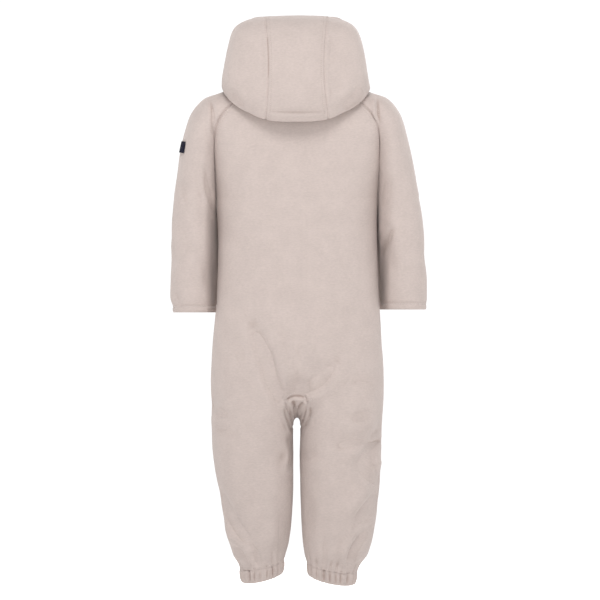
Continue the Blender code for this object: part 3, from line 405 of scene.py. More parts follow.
def lower_row(z, side):
    """A half section near and below the crotch, as columns of the torso."""
    torso = torso_row(z, side)
    share = split_share(z)
    if share == 0.0:
        return torso
    row = torso.copy()
    turns = turn_of(TORSO_AT[ON_LEG])
    leg = leg_points(np.full(len(turns), z), side, turns)
    row[ON_LEG] = (1 - share) * torso[ON_LEG] + share * leg
    for mark, beyond in ((BACK_CORNER, TORSO_AT < ARCH), (FRONT_CORNER, TORSO_AT > LAST - ARCH)):
        row[beyond, 0] = torso[beyond, 0] * row[mark][0] / torso[mark][0]
        row[beyond, 1] = torso[beyond, 1] + row[mark][1] - torso[mark][1]
    return row


def torso_grid(side, first_row):
    """The torso from the armpit down to the seat seam; rows of (x, y, z)."""
    rows = [first_row]
    for down in graded(ARMPIT_Z - CROTCH_Z, False, True, 2.8)[1:]:
        z = ARMPIT_Z + (CROTCH_Z - ARMPIT_Z) * down
        rise = CROTCH_RISE * smooth_step((down - RISE_FROM) / (1 - RISE_FROM))
        from_arch = np.minimum(TORSO_AT, LAST - TORSO_AT) / ARCH
        heights = z + rise * np.maximum(0.0, 1 - from_arch ** 2)
        rows.append(np.column_stack([lower_row(z, side), heights]))
    return np.array(rows)


def inner_points(side, share, z):
    """Points on the inside of a leg; share runs from its back to its front."""
    on_leg = leg_points(z, side, ARCH_TURN * (1 - 2 * share))
    behind = torso_points(z, side, np.full(len(z), float(ARCH)))
    before = torso_points(z, side, np.full(len(z), float(LAST - ARCH)))
    between = ((1 - np.cos(math.pi * share)) / 2)[:, None]
    chord = behind + (before - behind) * between
    weight = np.maximum(split_share(z), smooth_step(3.0 * np.minimum(share, 1 - share)))[:, None]
    return (1 - weight) * chord + weight * on_leg


# Rows along the gusset, closest together near its ends
GUSSET_AT = np.concatenate([
    np.linspace(0, 0.3, 33), np.linspace(0.3, 0.7, 17)[1:], np.linspace(0.7, 1, 33)[1:]])


def gusset_seam(side, top):
    """The seam between the gusset and one leg, from the back corner to the front corner."""
    z = CROTCH_Z - GUSSET_TIP_DROP * np.abs(np.sin(math.pi * GUSSET_AT)) ** GUSSET_POWER
    seam = np.column_stack([inner_points(side, GUSSET_AT, z), z])
    seam[[0, -1]] = top[[BACK_CORNER, FRONT_CORNER]]
    return seam


def gusset_grid(top, seam):
    """Half of the gusset, from its middle line to a leg's seam."""
    back_top = top[TORSO_AT <= ARCH]
    front_top = top[TORSO_AT >= LAST - ARCH][::-1]
    across = (ARCH_AT / ARCH)[:, None]
    back_bend, front_bend = (end - (end[0] + (end[-1] - end[0]) * across)
                             for end in (back_top, front_top))
    rows = []
    for share, edge in zip(GUSSET_AT, seam):
        dip = math.sin(math.pi * share)
        middle = back_top[0] + (front_top[0] - back_top[0]) * share
        middle[0] = 0.0
        middle[2] -= SADDLE_DROP * abs(dip) ** GUSSET_POWER
        halfway = np.array([0.5 + GUSSET_SPREAD * dip, 0.5, 0.5 - GUSSET_SAG * dip])
        between = middle + (edge - middle) * halfway
        bend = 4 * between - middle * 3 - edge
        row = middle + bend * across + (edge - middle - bend) * across ** 2
        row = row + back_bend * float(1 - smooth_step(share * GUSSET_ENDS))
        row = row + front_bend * float(1 - smooth_step((1 - share) * GUSSET_ENDS))
        rows.append(row)
    rows[0] = back_top
    rows[-1] = front_top
    return np.array(rows)


ANKLE_FOLLOWS = 0.75       # how far the sections near the casings follow the slant of the hem


def ankle_middle(side):
    """How far the middle of a leg's end lies from the centre of the garment."""
    inner, outer = table(LEG, "z", (side + "_in", side + "_out"), LEG_END[side].seam_z)
    return (inner + outer) / 2


def slant_of(side, flat):
    """How far a slanting section of the leg lies above its middle at these places."""
    end = LEG_END[side]
    return end.outward * (flat[:, 0] - ankle_middle(side)) + end.heelward * flat[:, 1]


def ankle_ring(side, turns):
    """The slanting ring where the casing is sewn on."""
    z = np.full(len(turns), LEG_END[side].seam_z)
    return leg_points(z + ANKLE_FOLLOWS * slant_of(side, leg_points(z, side, turns)), side, turns)


def leg_grid(side, top, seam):
    """A leg from the seat and gusset seams down to its cuff; closed rows of (x, y, z).
    Also says how each column lies round the leg, as turns."""
    end = LEG_END[side]
    outer_at = TORSO_AT[ON_LEG]
    inner_at = GUSSET_AT[::-1][1:-1]
    turns = np.concatenate([turn_of(outer_at), ARCH_TURN * (1 - 2 * inner_at)])
    start = np.vstack([top[ON_LEG], seam[::-1][1:-1]])
    split = len(outer_at)

    def section(z):
        share = split_share(z[:split])[:, None]
        outside = (1 - share) * torso_points(z[:split], side, outer_at) \
            + share * leg_points(z[:split], side, turns[:split])
        return np.vstack([outside, inner_points(side, inner_at, z[split:])])

    rows = [start]
    for down in graded(CROTCH_Z - end.seam_z, True, True, 2.8)[1:]:
        z = start[:, 2] + (end.seam_z - start[:, 2]) * down
        flat = section(z + ANKLE_FOLLOWS * down ** 2 * slant_of(side, section(z)))
        rows.append(np.column_stack([flat, z + down ** 2 * slant_of(side, flat)]))
    return np.array(rows), turns


def sleeve_section(side, heights, along):
    """One closed section of a sleeve, from its inner point round by the back."""
    inner, outer, back, front = table(
        SLEEVE, "z", (side + "_in", side + "_out", "back", "front"), heights).T
    middle = (back + front) / 2
    pull = SLEEVE_ROUND * (back - front)
    behind = bow(pairs(inner, middle), pairs(0, pull), pairs(outer, middle), pairs(0, -pull),
                 np.minimum(along, 1))
    before = bow(pairs(outer, middle), pairs(0, -pull), pairs(inner, middle), pairs(0, pull),
                 np.maximum(along - 1, 0))
    flat = np.where((along <= 1)[:, None], behind, before)
    return np.column_stack([flat, heights])


RING_AT = np.concatenate([SLEEVE_AT, 2 - SLEEVE_AT[::-1][1:-1]])


def sleeve_grid(side, ring):
    """A sleeve below the armpit; closed rows of (x, y, z). It starts at the yoke's row."""
    rows = [ring]
    for down in graded(ARMPIT_Z - CUFF_SEAM_Z[side], False, True, 2.8)[1:]:
        z = ring[:, 2] + (CUFF_SEAM_Z[side] - ring[:, 2]) * down
        rows.append(sleeve_section(side, z, RING_AT))
    return np.array(rows)


# ---- the finer skin ----

YOKE_HEIGHT = 190.0
YOKE_AT = graded(YOKE_HEIGHT, True, False, 2.6)
HOOD_LENGTH = 300.0
HOOD_AT = graded(HOOD_LENGTH, True, True, 2.8)
HOOD_BAND = np.array([0.12, 0.3, 0.5, 0.7, 0.88, 1.0])   # places across the hem band
HOOD_SIDE_END = HOOD_COLUMNS[-2]
HOOD_PLACES = np.concatenate([
    HOOD_SEAM * graded(45.0, False, True),
    HOOD_SEAM + (HOOD_SIDE_END - HOOD_SEAM) * graded(200.0, True, False)[1:],
    np.linspace(HOOD_SIDE_END, HOOD_ZIP_EDGE, 7)[1:],
    np.linspace(HOOD_ZIP_EDGE, 1.0, 5)[1:],
])
ZIP_CELLS = 4              # columns of cells on each half of the zip
WELD_PER_MM = 500.0
WELD_OFFSET = 0.237        # so that no round number lies between two cells of the weld


class Skin:
    """Quads of an outer skin, each with the name of its piece."""

    def __init__(self):
        self.points, self.faces, self.names = [], [], []
        self.count = 0

    def grid(self, rows, sign, names, closed=False, upward=False):
        """Add a grid in millimetres, its rows going down unless they go upward. Sign mirrors
        it to the wearer's right. Returns the numbers of its points."""
        rows = np.asarray(rows) * (sign, 1.0, 1.0)
        numbers = self.count + np.arange(rows.shape[0] * rows.shape[1]).reshape(rows.shape[:2])
        here, beside = numbers[:, :-1], numbers[:, 1:]
        if closed:
            here, beside = numbers, np.roll(numbers, -1, axis=1)
        quads = np.stack([here[:-1], here[1:], beside[1:], beside[:-1]], axis=-1)
        if (sign > 0) != upward:
            quads = quads[..., ::-1]
        self.points.append(rows.reshape(-1, 3))
        self.faces.append(quads.reshape(-1, 4))
        self.names.append(np.broadcast_to(names, quads.shape[:2]).ravel())
        self.count += numbers.size
        return numbers

    def weld(self):
        """Join the points that coincide, and turn millimetres into metres."""
        points = np.vstack(self.points)
        keys = np.floor(points * WELD_PER_MM + WELD_OFFSET).astype(int)
        first, number = np.unique(keys, axis=0, return_index=True, return_inverse=True)[1:]
        number = number.ravel()
        return points[first] * MM, number[np.vstack(self.faces)], np.concatenate(self.names), number


def unit(vectors):
    return vectors / np.maximum(np.linalg.norm(vectors, axis=-1, keepdims=True), 1e-12)


def point_normals(points, faces):
    """Sums of the normals of the faces round each point."""
    corners = points[faces]
    normals = np.cross(corners[:, 2] - corners[:, 0], corners[:, 3] - corners[:, 1])
    total = np.zeros_like(points)
    for corner in range(4):
        np.add.at(total, faces[:, corner], normals)
    return total


CREASED_FROM, CREASED_OVER = 20.0, 30.0    # degrees between two groups where they meet


def wall_normals(points, faces, own):
    """Normals for one group of pieces: shared over a smooth seam with the other group, and
    its own where the two meet in a crease."""
    mine = unit(point_normals(points, faces[own]))
    others = unit(point_normals(points, faces[~own])) if (~own).any() else np.zeros_like(mine)
    shared = unit(point_normals(points, faces))
    touching = (np.linalg.norm(mine, axis=1) > 0.5) & (np.linalg.norm(others, axis=1) > 0.5)
    angle = np.degrees(np.arccos(np.clip((mine * others).sum(axis=1), -1, 1)))
    weight = smooth_step((angle - CREASED_FROM) / CREASED_OVER)
    weight = np.where(touching, weight, 1.0)[:, None]
    return unit(shared * (1 - weight) + mine * weight)


def build_body():
    """The yoke, torso, sleeves, legs and gusset, with the grids that seams are read from."""
    skin = Skin()
    grids = {}
    back_end = len(BACK_AT) - 1
    sleeve_end = back_end + 2 * (len(SLEEVE_AT) - 1)
    for side, sign in SIDES.items():
        yoke = np.array([yoke_row(down, side) for down in YOKE_AT])
        columns = np.arange(yoke.shape[1] - 1)
        zip_edge = len(columns) - ZIP_CELLS
        names = np.where(columns < back_end, "back", np.where(
            columns < sleeve_end, "sleeve_" + side, np.where(
                columns < zip_edge, "front_" + side, "zip_tape_" + side)))
        made = {"yoke": skin.grid(yoke, sign, names)}
        torso = torso_grid(side, np.vstack([yoke[-1][:back_end + 1], yoke[-1][sleeve_end + 1:]]))
        columns = np.arange(torso.shape[1] - 1)
        in_zip = (torso[1:, -1:, 2] > ZIP_END_Z) & (columns >= len(columns) - ZIP_CELLS)
        names = np.where(columns < back_end, "back",
                         np.where(in_zip, "zip_tape_" + side, "front_" + side))
        made["torso"] = skin.grid(torso, sign, names)
        seam = gusset_seam(side, torso[-1])
        made["gusset"] = skin.grid(gusset_grid(torso[-1], seam), sign, "crotch_gusset")
        leg, turns = leg_grid(side, torso[-1], seam)
        side_seam = back_end - BACK_CORNER
        inner_seam = len(turns) - len(GUSSET_AT) // 2
        columns = np.arange(leg.shape[1])
        names = np.where((columns >= side_seam) & (columns < inner_seam), "front_" + side, "back")
        made["leg"] = skin.grid(leg, sign, names, closed=True)
        sleeve = sleeve_grid(side, yoke[-1][back_end:sleeve_end])
        made["sleeve"] = skin.grid(sleeve, sign, "sleeve_" + side, closed=True)
        made.update(turns=turns, back_end=back_end, sleeve_end=sleeve_end, side_seam=side_seam,
                    inner_seam=inner_seam, in_zip=int(in_zip[:, -1].sum()))
        grids[side] = made
    return skin, grids


BAND_RISE = 5.2            # over the crown the band stands up by this much
BAND_DIP_OVER = 42.0       # and the cloth behind it dips over this length
BAND_TURN_BACK = 0.45      # and turns towards the back by this share of its width
BAND_FULL_TO, BAND_FADE = 0.16, 0.34   # how far round the hood it stands up, then fades
MIRROR = np.array([-1.0, 1.0, 1.0])


def past_middles(places, columns):
    """Carry columns on past the centre back and the centre front, mirrored, so that a
    smooth line through them runs straight across."""
    places = [-places[1], *places, 2 - places[-2]]
    return places, np.concatenate([[columns[1] * MIRROR], columns, [columns[-2] * MIRROR]])


def turn_up_band(points, past, place):
    """Stand the band round the face up over the crown, so that it shows from behind."""
    weight = 1 - smooth_step((place - BAND_FULL_TO) / BAND_FADE)
    drop = smooth_step(1 + past / BAND_DIP_OVER) * (1 - smooth_step(past / HOOD_HEM))
    points = points.copy()
    points[:, 2] -= BAND_RISE * weight * drop
    points[:, 1] += BAND_TURN_BACK * weight * np.maximum(past, 0)
    return points


def hood_columns(side):
    """The hood's columns at its own guide places, each with the finer rows."""
    names = HoodLine._fields[1:]
    lines = np.array([[getattr(line, name) for name in names] for line in HOOD], float)
    rounds, lines = past_middles([line.round for line in HOOD], lines)
    ring = yoke_row(0.0, "left")
    ring_angle = np.arctan2(ring[:, 0], ring[:, 1])
    columns = []
    for place in HOOD_COLUMNS:
        guide = through(rounds, lines, place)
        angle = math.atan2(guide[0][0], guide[0][1])
        guide[0] = read_at(angle, ring_angle, ring)
        guide[0][2] += HOOD_SEAT
        path = through(np.arange(len(guide)), guide,
                       np.linspace(0, len(guide) - 1, PATH_SAMPLES))
        run = run_of(path)
        whole = run[-1] - HOOD_HEM
        wanted = np.concatenate([HOOD_AT * whole, whole + HOOD_HEM * HOOD_BAND])
        columns.append(turn_up_band(read_at(wanted, run, path), wanted - whole, place))
    columns.insert(-1, columns[-1] + np.array([ZIP_HALF, HOOD_ZIP_OUT, 0.0]))
    columns = np.array(columns)
    if side == "right":
        number = np.interp(HOOD_AT, HOOD_ROWS, range(len(HOOD_ROWS)))
        number = np.concatenate([number, np.full(len(HOOD_BAND), len(HOOD_ROWS))])
        share = smooth_step((number - HOOD_NARROW_ROW) / HOOD_NARROW_OVER)
        columns[..., 0] *= np.where(columns[..., 0] > ZIP_HALF + 1, 1 - HOOD_NARROW * share, 1.0)
    return columns


def build_hood():
    skin = Skin()
    grids = {}
    knots = [*HOOD_COLUMNS[:-1], HOOD_ZIP_EDGE, 1.0]
    for side, sign in SIDES.items():
        places, columns = past_middles(knots, hood_columns(side))
        dense = through(places, columns.reshape(len(columns), -1), HOOD_PLACES)
        rows = dense.reshape(len(HOOD_PLACES), -1, 3).transpose(1, 0, 2)
        rows[:, [0, -1], 0] = 0.0
        places = HOOD_PLACES[:-1]
        band = (np.arange(len(rows) - 1) >= len(HOOD_AT) - 1)[:, None]
        names = np.where(places >= HOOD_ZIP_EDGE - 1e-9, "zip_top_" + side, np.where(
            band, "hood_hem", np.where(places < HOOD_SEAM - 1e-9, "hood_centre", "hood_" + side)))
        grids[side] = skin.grid(rows, sign, names, upward=True)
    return skin, grids


# ---- folds, seams and stitching ----

# Paths across and up, on the faces that look back (1) or forwards (-1)
Crease = namedtuple("Crease", "path width depth")
CREASES = {
    ("body", 1): (
        # drag lines that run up from the crotch
        Crease(((30, -409), (36, -380), (43, -353), (61, -312)), 9, 1.9),
        Crease(((38, -384), (27, -402), (19, -424)), 8, 1.2),
        Crease(((6, -406), (-14, -398), (-34, -386), (-54, -362)), 8, 1.8),
        Crease(((-2, -398), (2, -366), (-4, -330)), 9, 0.6),
        # the gusset: its arch, the ridges beside it and the folds that meet in its middle
        Crease(((16, -419), (12, -412), (6, -408.6), (-10, -409.4), (-14, -413),
                (-18, -419)), 1.9, 0.9),
        Crease(((15.5, -421), (16, -433), (10, -450), (6, -458)), 2, 0.8),
        Crease(((10, -424), (8, -437), (5, -447)), 1.8, 0.6),
        Crease(((-19, -418), (-18, -431), (-13.5, -443), (-8.5, -453)), 2, 0.8),
        Crease(((-16, -426), (-10.5, -439), (-8, -447)), 1.8, 0.5),
        Crease(((6, -413), (3.8, -422), (2.2, -431)), 2.2, 1),
        Crease(((-10.5, -413), (-3.7, -421), (0.4, -431)), 1.9, 0.8),
        Crease(((2.6, -424), (2.0, -434), (1.6, -446)), 2.4, 1.8),
        # seat and hips
        Crease(((119, -417), (111, -430), (92, -436)), 7, 1.3),
        Crease(((112, -450), (98, -461), (76, -466)), 12, 0.7),
        Crease(((-112, -402), (-92, -392), (-70, -390)), 9, 0.7),
        Crease(((-74, -442), (-88, -438), (-104, -432)), 7, 1.5),
        # right leg
        Crease(((-50, -479), (-72, -474), (-98, -470)), 8, 0.9),
        Crease(((-119, -470), (-110, -472), (-100, -479)), 4, 1),
        Crease(((-120, -528), (-106, -518), (-95, -501), (-99, -480)), 9, 2.6),
        Crease(((-112, -544), (-104, -556), (-90, -573), (-82, -583)), 9, 2),
        Crease(((-100, -594), (-86, -608), (-76, -626), (-72, -646)), 6, 2),
        Crease(((-4, -496), (-14, -492), (-30, -486)), 9, 0.7),
        Crease(((-14, -540), (-17, -570), (-16, -600)), 8, 0.8),
        # left leg
        Crease(((108, -538), (95, -571), (80, -595), (66, -611)), 6.4, 2.3),
        Crease(((88, -613), (78, -634), (71, -648)), 5, 1.8),
        Crease(((9, -468), (6, -486), (6, -508)), 5, 2.2),
        Crease(((22, -560), (18, -596), (23, -630)), 8, 0.9),
        Crease(((60, -616), (57, -628), (52, -640)), 5, 0.9),
        # the back, almost smooth
        Crease(((104, -172), (88, -190), (70, -222)), 12, 0.35),
        Crease(((-104, -168), (-90, -188), (-66, -210)), 12, 0.3),
        Crease(((60, -250), (20, -262), (-30, -258)), 22, 0.5),
        Crease(((-100, -300), (-60, -316), (-10, -318)), 20, 0.6),
        Crease(((96, -330), (80, -350), (74, -378)), 12, 0.7),
    ),
    ("body", -1): (
        # the front, much the same
        Crease(((10, -408), (30, -380), (38, -340), (52, -300)), 8, 1.8),
        Crease(((-12, -408), (-34, -372), (-60, -352)), 8, 1.8),
        Crease(((110, -420), (88, -426), (58, -440)), 8, 1.7),
        Crease(((-112, -436), (-86, -446), (-54, -446)), 8, 1.7),
        Crease(((100, -540), (76, -566), (60, -610)), 8, 2),
        Crease(((-104, -560), (-84, -590), (-68, -632)), 8, 2),
        Crease(((20, -500), (44, -516), (74, -512)), 10, 1.5),
        Crease(((-18, -488), (-42, -506), (-70, -504)), 10, 1.5),
        Crease(((98, -164), (78, -192), (40, -210)), 10, 1.4),
        Crease(((-98, -160), (-80, -186), (-44, -214)), 10, 1.4),
        Crease(((70, -262), (36, -284), (10, -290)), 16, 1.1),
        Crease(((-76, -300), (-40, -312), (-10, -308)), 16, 1.1),
    ),
    ("sleeve", 1): (
        # sleeves: the shoulder folds, the long soft folds and the deep one by the body
        Crease(((119, 0), (115.5, -24), (113.5, -52)), 3, 0.8),
        Crease(((-111, 4), (-112, -16), (-113.5, -42)), 3, 0.8),
        Crease(((125, -94), (123, -118), (118, -140), (116, -158)), 3.8, 1.1),
        Crease(((166, -100), (158, -126), (152, -152)), 8, 0.5),
        Crease(((168, -158), (160, -178), (154, -198)), 9, 0.5),
        Crease(((127, -222), (124, -242), (122, -262)), 5, 0.7),
        Crease(((171, -258), (166, -272), (161, -284)), 5, 0.6),
        Crease(((-131, -176), (-127, -190), (-121, -212)), 3.4, 1.1),
        Crease(((-124, -100), (-120, -130), (-119, -160)), 9, 0.7),
        Crease(((-150, -150), (-144, -176), (-134, -186)), 9, 0.5),
        Crease(((-170, -214), (-156, -232), (-140, -240)), 10, 0.4),
    ),
    ("sleeve", -1): (
        Crease(((168, -180), (150, -200), (124, -206)), 8, 1.8),
        Crease(((118, -232), (140, -244), (166, -240)), 8, 1.5),
        Crease(((-170, -184), (-150, -202), (-126, -206)), 8, 1.8),
        Crease(((-120, -234), (-142, -248), (-168, -244)), 8, 1.5),
    ),
    ("hood", 1): (
        # hood
        Crease(((41, -17.5), (12, -19.5), (-12, -19.5), (-38, -18)), 2.2, 0.5),
        Crease(((92, 14), (84, -2), (66, -16)), 8, 1),
        Crease(((-90, 16), (-80, 0), (-62, -14)), 8, 1.2),
        Crease(((40, 92), (44, 60), (42, 24)), 12, 0.7),
        Crease(((-46, 94), (-50, 64), (-47, 28)), 12, 0.7),
    ),
}
LIP = 0.6                  # the lip beside a crease, as a share of its depth
LIP_AWAY = 1.9             # and how far off it lies, as a share of the crease's width
EDGE_ON = 2.5              # creases fade where the cloth turns away from the way they face
CREASE_SAMPLES = 14

Gather = namedtuple("Gather", "across depth width rise")
# Troughs over the back of each casing, by how far they lie from the garment's centre line
GATHERS = {
    "left": (
        Gather(75, 1.3, 2.6, 16), Gather(68, 2.3, 2.4, 22), Gather(60, 0.8, 3.0, 12),
        Gather(51, 1.1, 3.0, 14), Gather(42, 0.8, 3.2, 10), Gather(33, 1.6, 2.6, 18),
        Gather(25, 1.3, 2.2, 14),
    ),
    "right": (
        Gather(18, 1.4, 2.4, 16), Gather(26, 1.5, 2.4, 14), Gather(36.5, 2.8, 2.6, 30),
        Gather(45.5, 1.6, 2.4, 18), Gather(55, 1.7, 2.6, 22), Gather(62, 1.2, 2.4, 14),
        Gather(72, 1.9, 2.6, 24), Gather(80, 1.0, 2.4, 12),
    ),
}
FRONT_GATHERS = 9
FRONT_TURNS = (2.15, 1.75)  # where they start round the leg, and how far they go
GATHER_SCALE = 1.9
GATHER_REACH = 1.35
GATHER_SLANT = 0.10        # they lean over as they run up the leg
GATHER_SEEDS = {"left": 41, "right": 57}
TURN_SAMPLES = 81


def leg_gathers(side):
    """Troughs round one casing as (turn, depth, width, rise), widths counted as turns."""
    draw = np.random.default_rng(GATHER_SEEDS[side])
    turns = np.linspace(0, 2, TURN_SAMPLES)
    across = leg_points(np.full(TURN_SAMPLES, LEG_END[side].seam_z), side, turns)[:, 0]
    round_leg = 4 / (2.2 * (across[-1] - across[0]) + 60)
    rows = [(np.interp(item.across, across, turns), item.depth, item.width * round_leg, item.rise)
            for item in GATHERS[side]]
    for number in range(FRONT_GATHERS):
        turn = FRONT_TURNS[0] + FRONT_TURNS[1] * (
            number + 0.5 + draw.uniform(-0.28, 0.28)) / FRONT_GATHERS
        rows.append((turn, draw.uniform(0.8, 2.2), draw.uniform(2.2, 3.0) * round_leg,
                     draw.uniform(10, 24)))
    return rows


def gather_depth(side, turn, above):
    """How deep the gathers lie, in millimetres, at a turn and a height above the casing."""
    depth = np.zeros(np.broadcast(turn, above).shape)
    for number, (middle, deep, width, rise) in enumerate(leg_gathers(side)):
        lean = GATHER_SLANT * width / 2 * (1 if number % 2 else -1) * above / 4
        away = (turn - middle - lean + 2) % 4 - 2
        up = np.maximum(above, 0) / (GATHER_REACH * rise)
        spread = width * (1 + up)
        depth += GATHER_SCALE * deep * np.exp(-(away / spread) ** 2) * np.exp(-up ** 1.5)
    return depth


def press_folds(points, normals):
    """Sink the largest folds into the skin, as the solids have them."""
    moved = points.copy()
    for fold in FOLDS:
        start = np.array(fold.start) * MM
        run = np.array(fold.end) * MM - start
        along = np.clip(((points - start) @ run) / (run @ run), 0, 1)
        away = np.linalg.norm(points - start - along[:, None] * run, axis=1)
        taper = 0.35 + 0.65 * np.sin(math.pi * (0.12 + 0.76 * along))
        sunk = fold.depth * MM * np.exp(-(away / (fold.width * MM)) ** 2) * taper
        moved -= normals * sunk[:, None]
    return moved


def crease_relief(points, normals, group):
    """Height of the finer creases, in metres: a trough each, with a soft lip on one side."""
    relief = np.zeros(len(points))
    for facing, crease in [(key[1], crease) for key in CREASES if key[0] == group
                           for crease in CREASES[key]]:
        path = through(range(len(crease.path)), crease.path,
                       np.linspace(0, len(crease.path) - 1, CREASE_SAMPLES)) * MM
        width = crease.width * MM
        low, high = path.min(axis=0) - 4 * width, path.max(axis=0) + 4 * width
        flat = points[:, [0, 2]]
        near = np.where((flat > low).all(axis=1) & (flat < high).all(axis=1)
                        & (normals[:, 1] * facing > 0))[0]
        best = np.full(len(near), np.inf)
        side = np.zeros(len(near))
        place = np.zeros(len(near))
        for number in range(len(path) - 1):
            run = path[number + 1] - path[number]
            offset = flat[near] - path[number]
            along = np.clip(offset @ run / (run @ run), 0, 1)
            away = offset - along[:, None] * run
            distance = np.linalg.norm(away, axis=1)
            closer = distance < best
            best[closer] = distance[closer]
            side[closer] = np.sign(run[0] * away[closer, 1] - run[1] * away[closer, 0])
            place[closer] = (number + along[closer]) / (len(path) - 1)
        taper = np.sin(math.pi * np.clip(place, 0.04, 0.96)) ** 0.7
        turned = np.clip(np.abs(normals[near, 1]) * EDGE_ON, 0, 1)
        trough = np.exp(-(best / width) ** 2)
        lip = LIP * np.exp(-((best - LIP_AWAY * width) / width) ** 2) * np.clip(side, 0, 1)
        relief[near] += crease.depth * MM * (lip - trough) * taper * turned
    return relief


TREE_STEP = 0.5 * MM


def tree_of(lines):
    """A search tree over lines, each cut into short steps."""
    places = []
    for line in lines:
        run = run_of(line)
        at = np.linspace(0, run[-1], max(2, int(run[-1] / TREE_STEP)))
        places.append(read_at(at, run, line))
    places = np.vstack(places)
    tree = KDTree(len(places))
    for number, place in enumerate(places):
        tree.insert(place, number)
    tree.balance()
    return tree


def distance_to(tree, points):
    return np.array([tree.find(place)[2] for place in points])


StitchLine = namedtuple("StitchLine", "name near far share")


def inset_line(name, points, numbers, seam, step, inset=STITCH_IN):
    """A stitched line that follows a column of a grid, some way in from it."""
    columns = seam + step * np.arange(14)
    columns = columns[(columns >= 0) & (columns < numbers.shape[1])]
    strip = numbers[:, columns]
    lengths = np.linalg.norm(np.diff(points[strip], axis=1), axis=2) / MM
    run = np.concatenate([np.zeros((len(strip), 1)), np.cumsum(lengths, axis=1)], axis=1)
    after = np.clip((run < inset).sum(axis=1), 1, strip.shape[1] - 1)
    row = np.arange(len(strip))
    share = (inset - run[row, after - 1]) / np.maximum(run[row, after] - run[row, after - 1], 1e-9)
    return StitchLine(name, strip[row, after - 1], strip[row, after], np.clip(share, 0, 1)[:, None])


def read_line(line, values):
    return values[line.near] * (1 - line.share) + values[line.far] * line.share


def soft_noise(points, scale, seed):
    """Smooth noise; the seed moves it to another place."""
    shift = Vector((seed * 7.3, seed * 3.1, seed * 5.7))
    return np.array([noise.noise(Vector(place) / scale + shift) for place in points])


CREASE_SCALE = 3.7
UNEVEN = ((70, 1.2), (30, 0.5), (12, 0.18))   # wavelength and height, in millimetres
SEEDS = {"body": 1, "hood": 5}
# Sizes of what runs along a seam, in millimetres: the cloth sinks at the seam, swells beside
# it, and sinks again at the topstitching
Relief = namedtuple("Relief", "height away width")
SEAM_SINK = Relief(1.0, 0.0, 1.6)
SEAM_SWELL = Relief(0.40, 3.4, 2.2)
STITCH_SINK = Relief(0.5, 0.0, 0.9)


def profile(shape, away):
    return shape.height * np.exp(-((away - shape.away) / shape.width) ** 2)


def relief_of(points, normals, group, seams, stitched, seed):
    """Height of the finer shape over the skin of one group: creases, sunk seams, sunk
    stitching and the slight unevenness of soft cloth."""
    relief = CREASE_SCALE * crease_relief(points, normals, group)
    for wave, tall in UNEVEN:
        relief += tall * MM * soft_noise(points, wave * MM, seed + wave)
    away = distance_to(tree_of(seams), points) / MM
    relief += MM * (profile(SEAM_SWELL, away) - profile(SEAM_SINK, away))
    return relief - MM * profile(STITCH_SINK, distance_to(tree_of(stitched), points) / MM)


# ---- pieces ----

RIM_STEPS = (0.2, 0.5, 0.8)
HEM_BULGE = 0.9 * MM       # the folded edge round the face is rounder than a seam
SEAM_BULGE = 0.08 * MM


def make_piece(name, points, faces, material, smooth_angle=60.0):
    mesh = bpy.data.meshes.new(name)
    mesh.from_pydata(points.tolist(), [], [list(face) for face in faces])
    mesh.validate()
    mesh.shade_smooth()
    mesh.set_sharp_from_angle(angle=math.radians(smooth_angle))
    mesh.materials.append(material)
    piece = bpy.data.objects.new(name, mesh)
    bpy.context.scene.collection.objects.link(piece)
    return piece


def wall_piece(name, outer, inner, normals, faces, material, bulge=SEAM_BULGE):
    """A piece of cloth as a closed wall, with its rims rounded and trimmed back at seams."""
    used, corners = np.unique(faces, return_inverse=True)
    faces = corners.reshape(faces.shape)
    outer, inner, normal = outer[used], inner[used], normals[used]
    count = len(used)
    start = faces.ravel()
    end = np.roll(faces, -1, axis=1).ravel()
    rim = ~np.isin(start * count + end, end * count + start)
    start, end = start[rim], end[rim]
    along = unit(outer[end] - outer[start])
    pull = np.zeros_like(outer)
    for corner in (start, end):
        np.add.at(pull, corner, unit(np.cross(normal[corner], along)))
    length = np.linalg.norm(pull, axis=1, keepdims=True)
    inward = pull / np.maximum(length, 1e-9)
    trim = np.where(length > 1e-6, SEAM_TRIM * np.minimum(2 / np.maximum(length, 0.6), 2), 0.0)
    outer, inner = outer + inward * trim, inner + inward * trim
    edge = np.unique(start)
    place_of = np.full(count, -1)
    place_of[edge] = np.arange(len(edge))
    rounds = [outer[edge] * (1 - step) + inner[edge] * step
              - inward[edge] * bulge * math.sin(math.pi * step) for step in RIM_STEPS]
    rings = [np.arange(count)] + [2 * count + k * len(edge) + place_of for k in range(len(rounds))]
    rings.append(np.arange(count) + count)
    sides = [np.stack([above[end], above[start], below[start], below[end]], axis=1)
             for above, below in zip(rings, rings[1:])]
    quads = np.vstack([faces, faces[:, ::-1] + count, *sides])
    return make_piece(name, np.vstack([outer, inner, *rounds]), quads, material)


def swept_ring(name, rings, material):
    """A closed band, from rings of points that go once round its cross-section."""
    rings = np.array(rings)
    numbers = np.arange(rings.shape[0] * rings.shape[1]).reshape(rings.shape[:2])
    below = np.roll(numbers, -1, axis=0)
    quads = np.stack(
        [numbers, below, np.roll(below, -1, axis=1), np.roll(numbers, -1, axis=1)], axis=-1)
    piece = make_piece(name, rings.reshape(-1, 3) * MM, quads.reshape(-1, 4), material)
    mesh = bmesh.new()
    mesh.from_mesh(piece.data)
    bmesh.ops.recalc_face_normals(mesh, faces=mesh.faces)
    mesh.to_mesh(piece.data)
    mesh.free()
    return piece


BEAD_LONG, BEAD_WIDE, BEAD_HIGH = 1.05 * MM, 0.30 * MM, 0.26 * MM
STITCH_PITCH = 2.8 * MM
STITCH_LIFT = 0.08 * MM


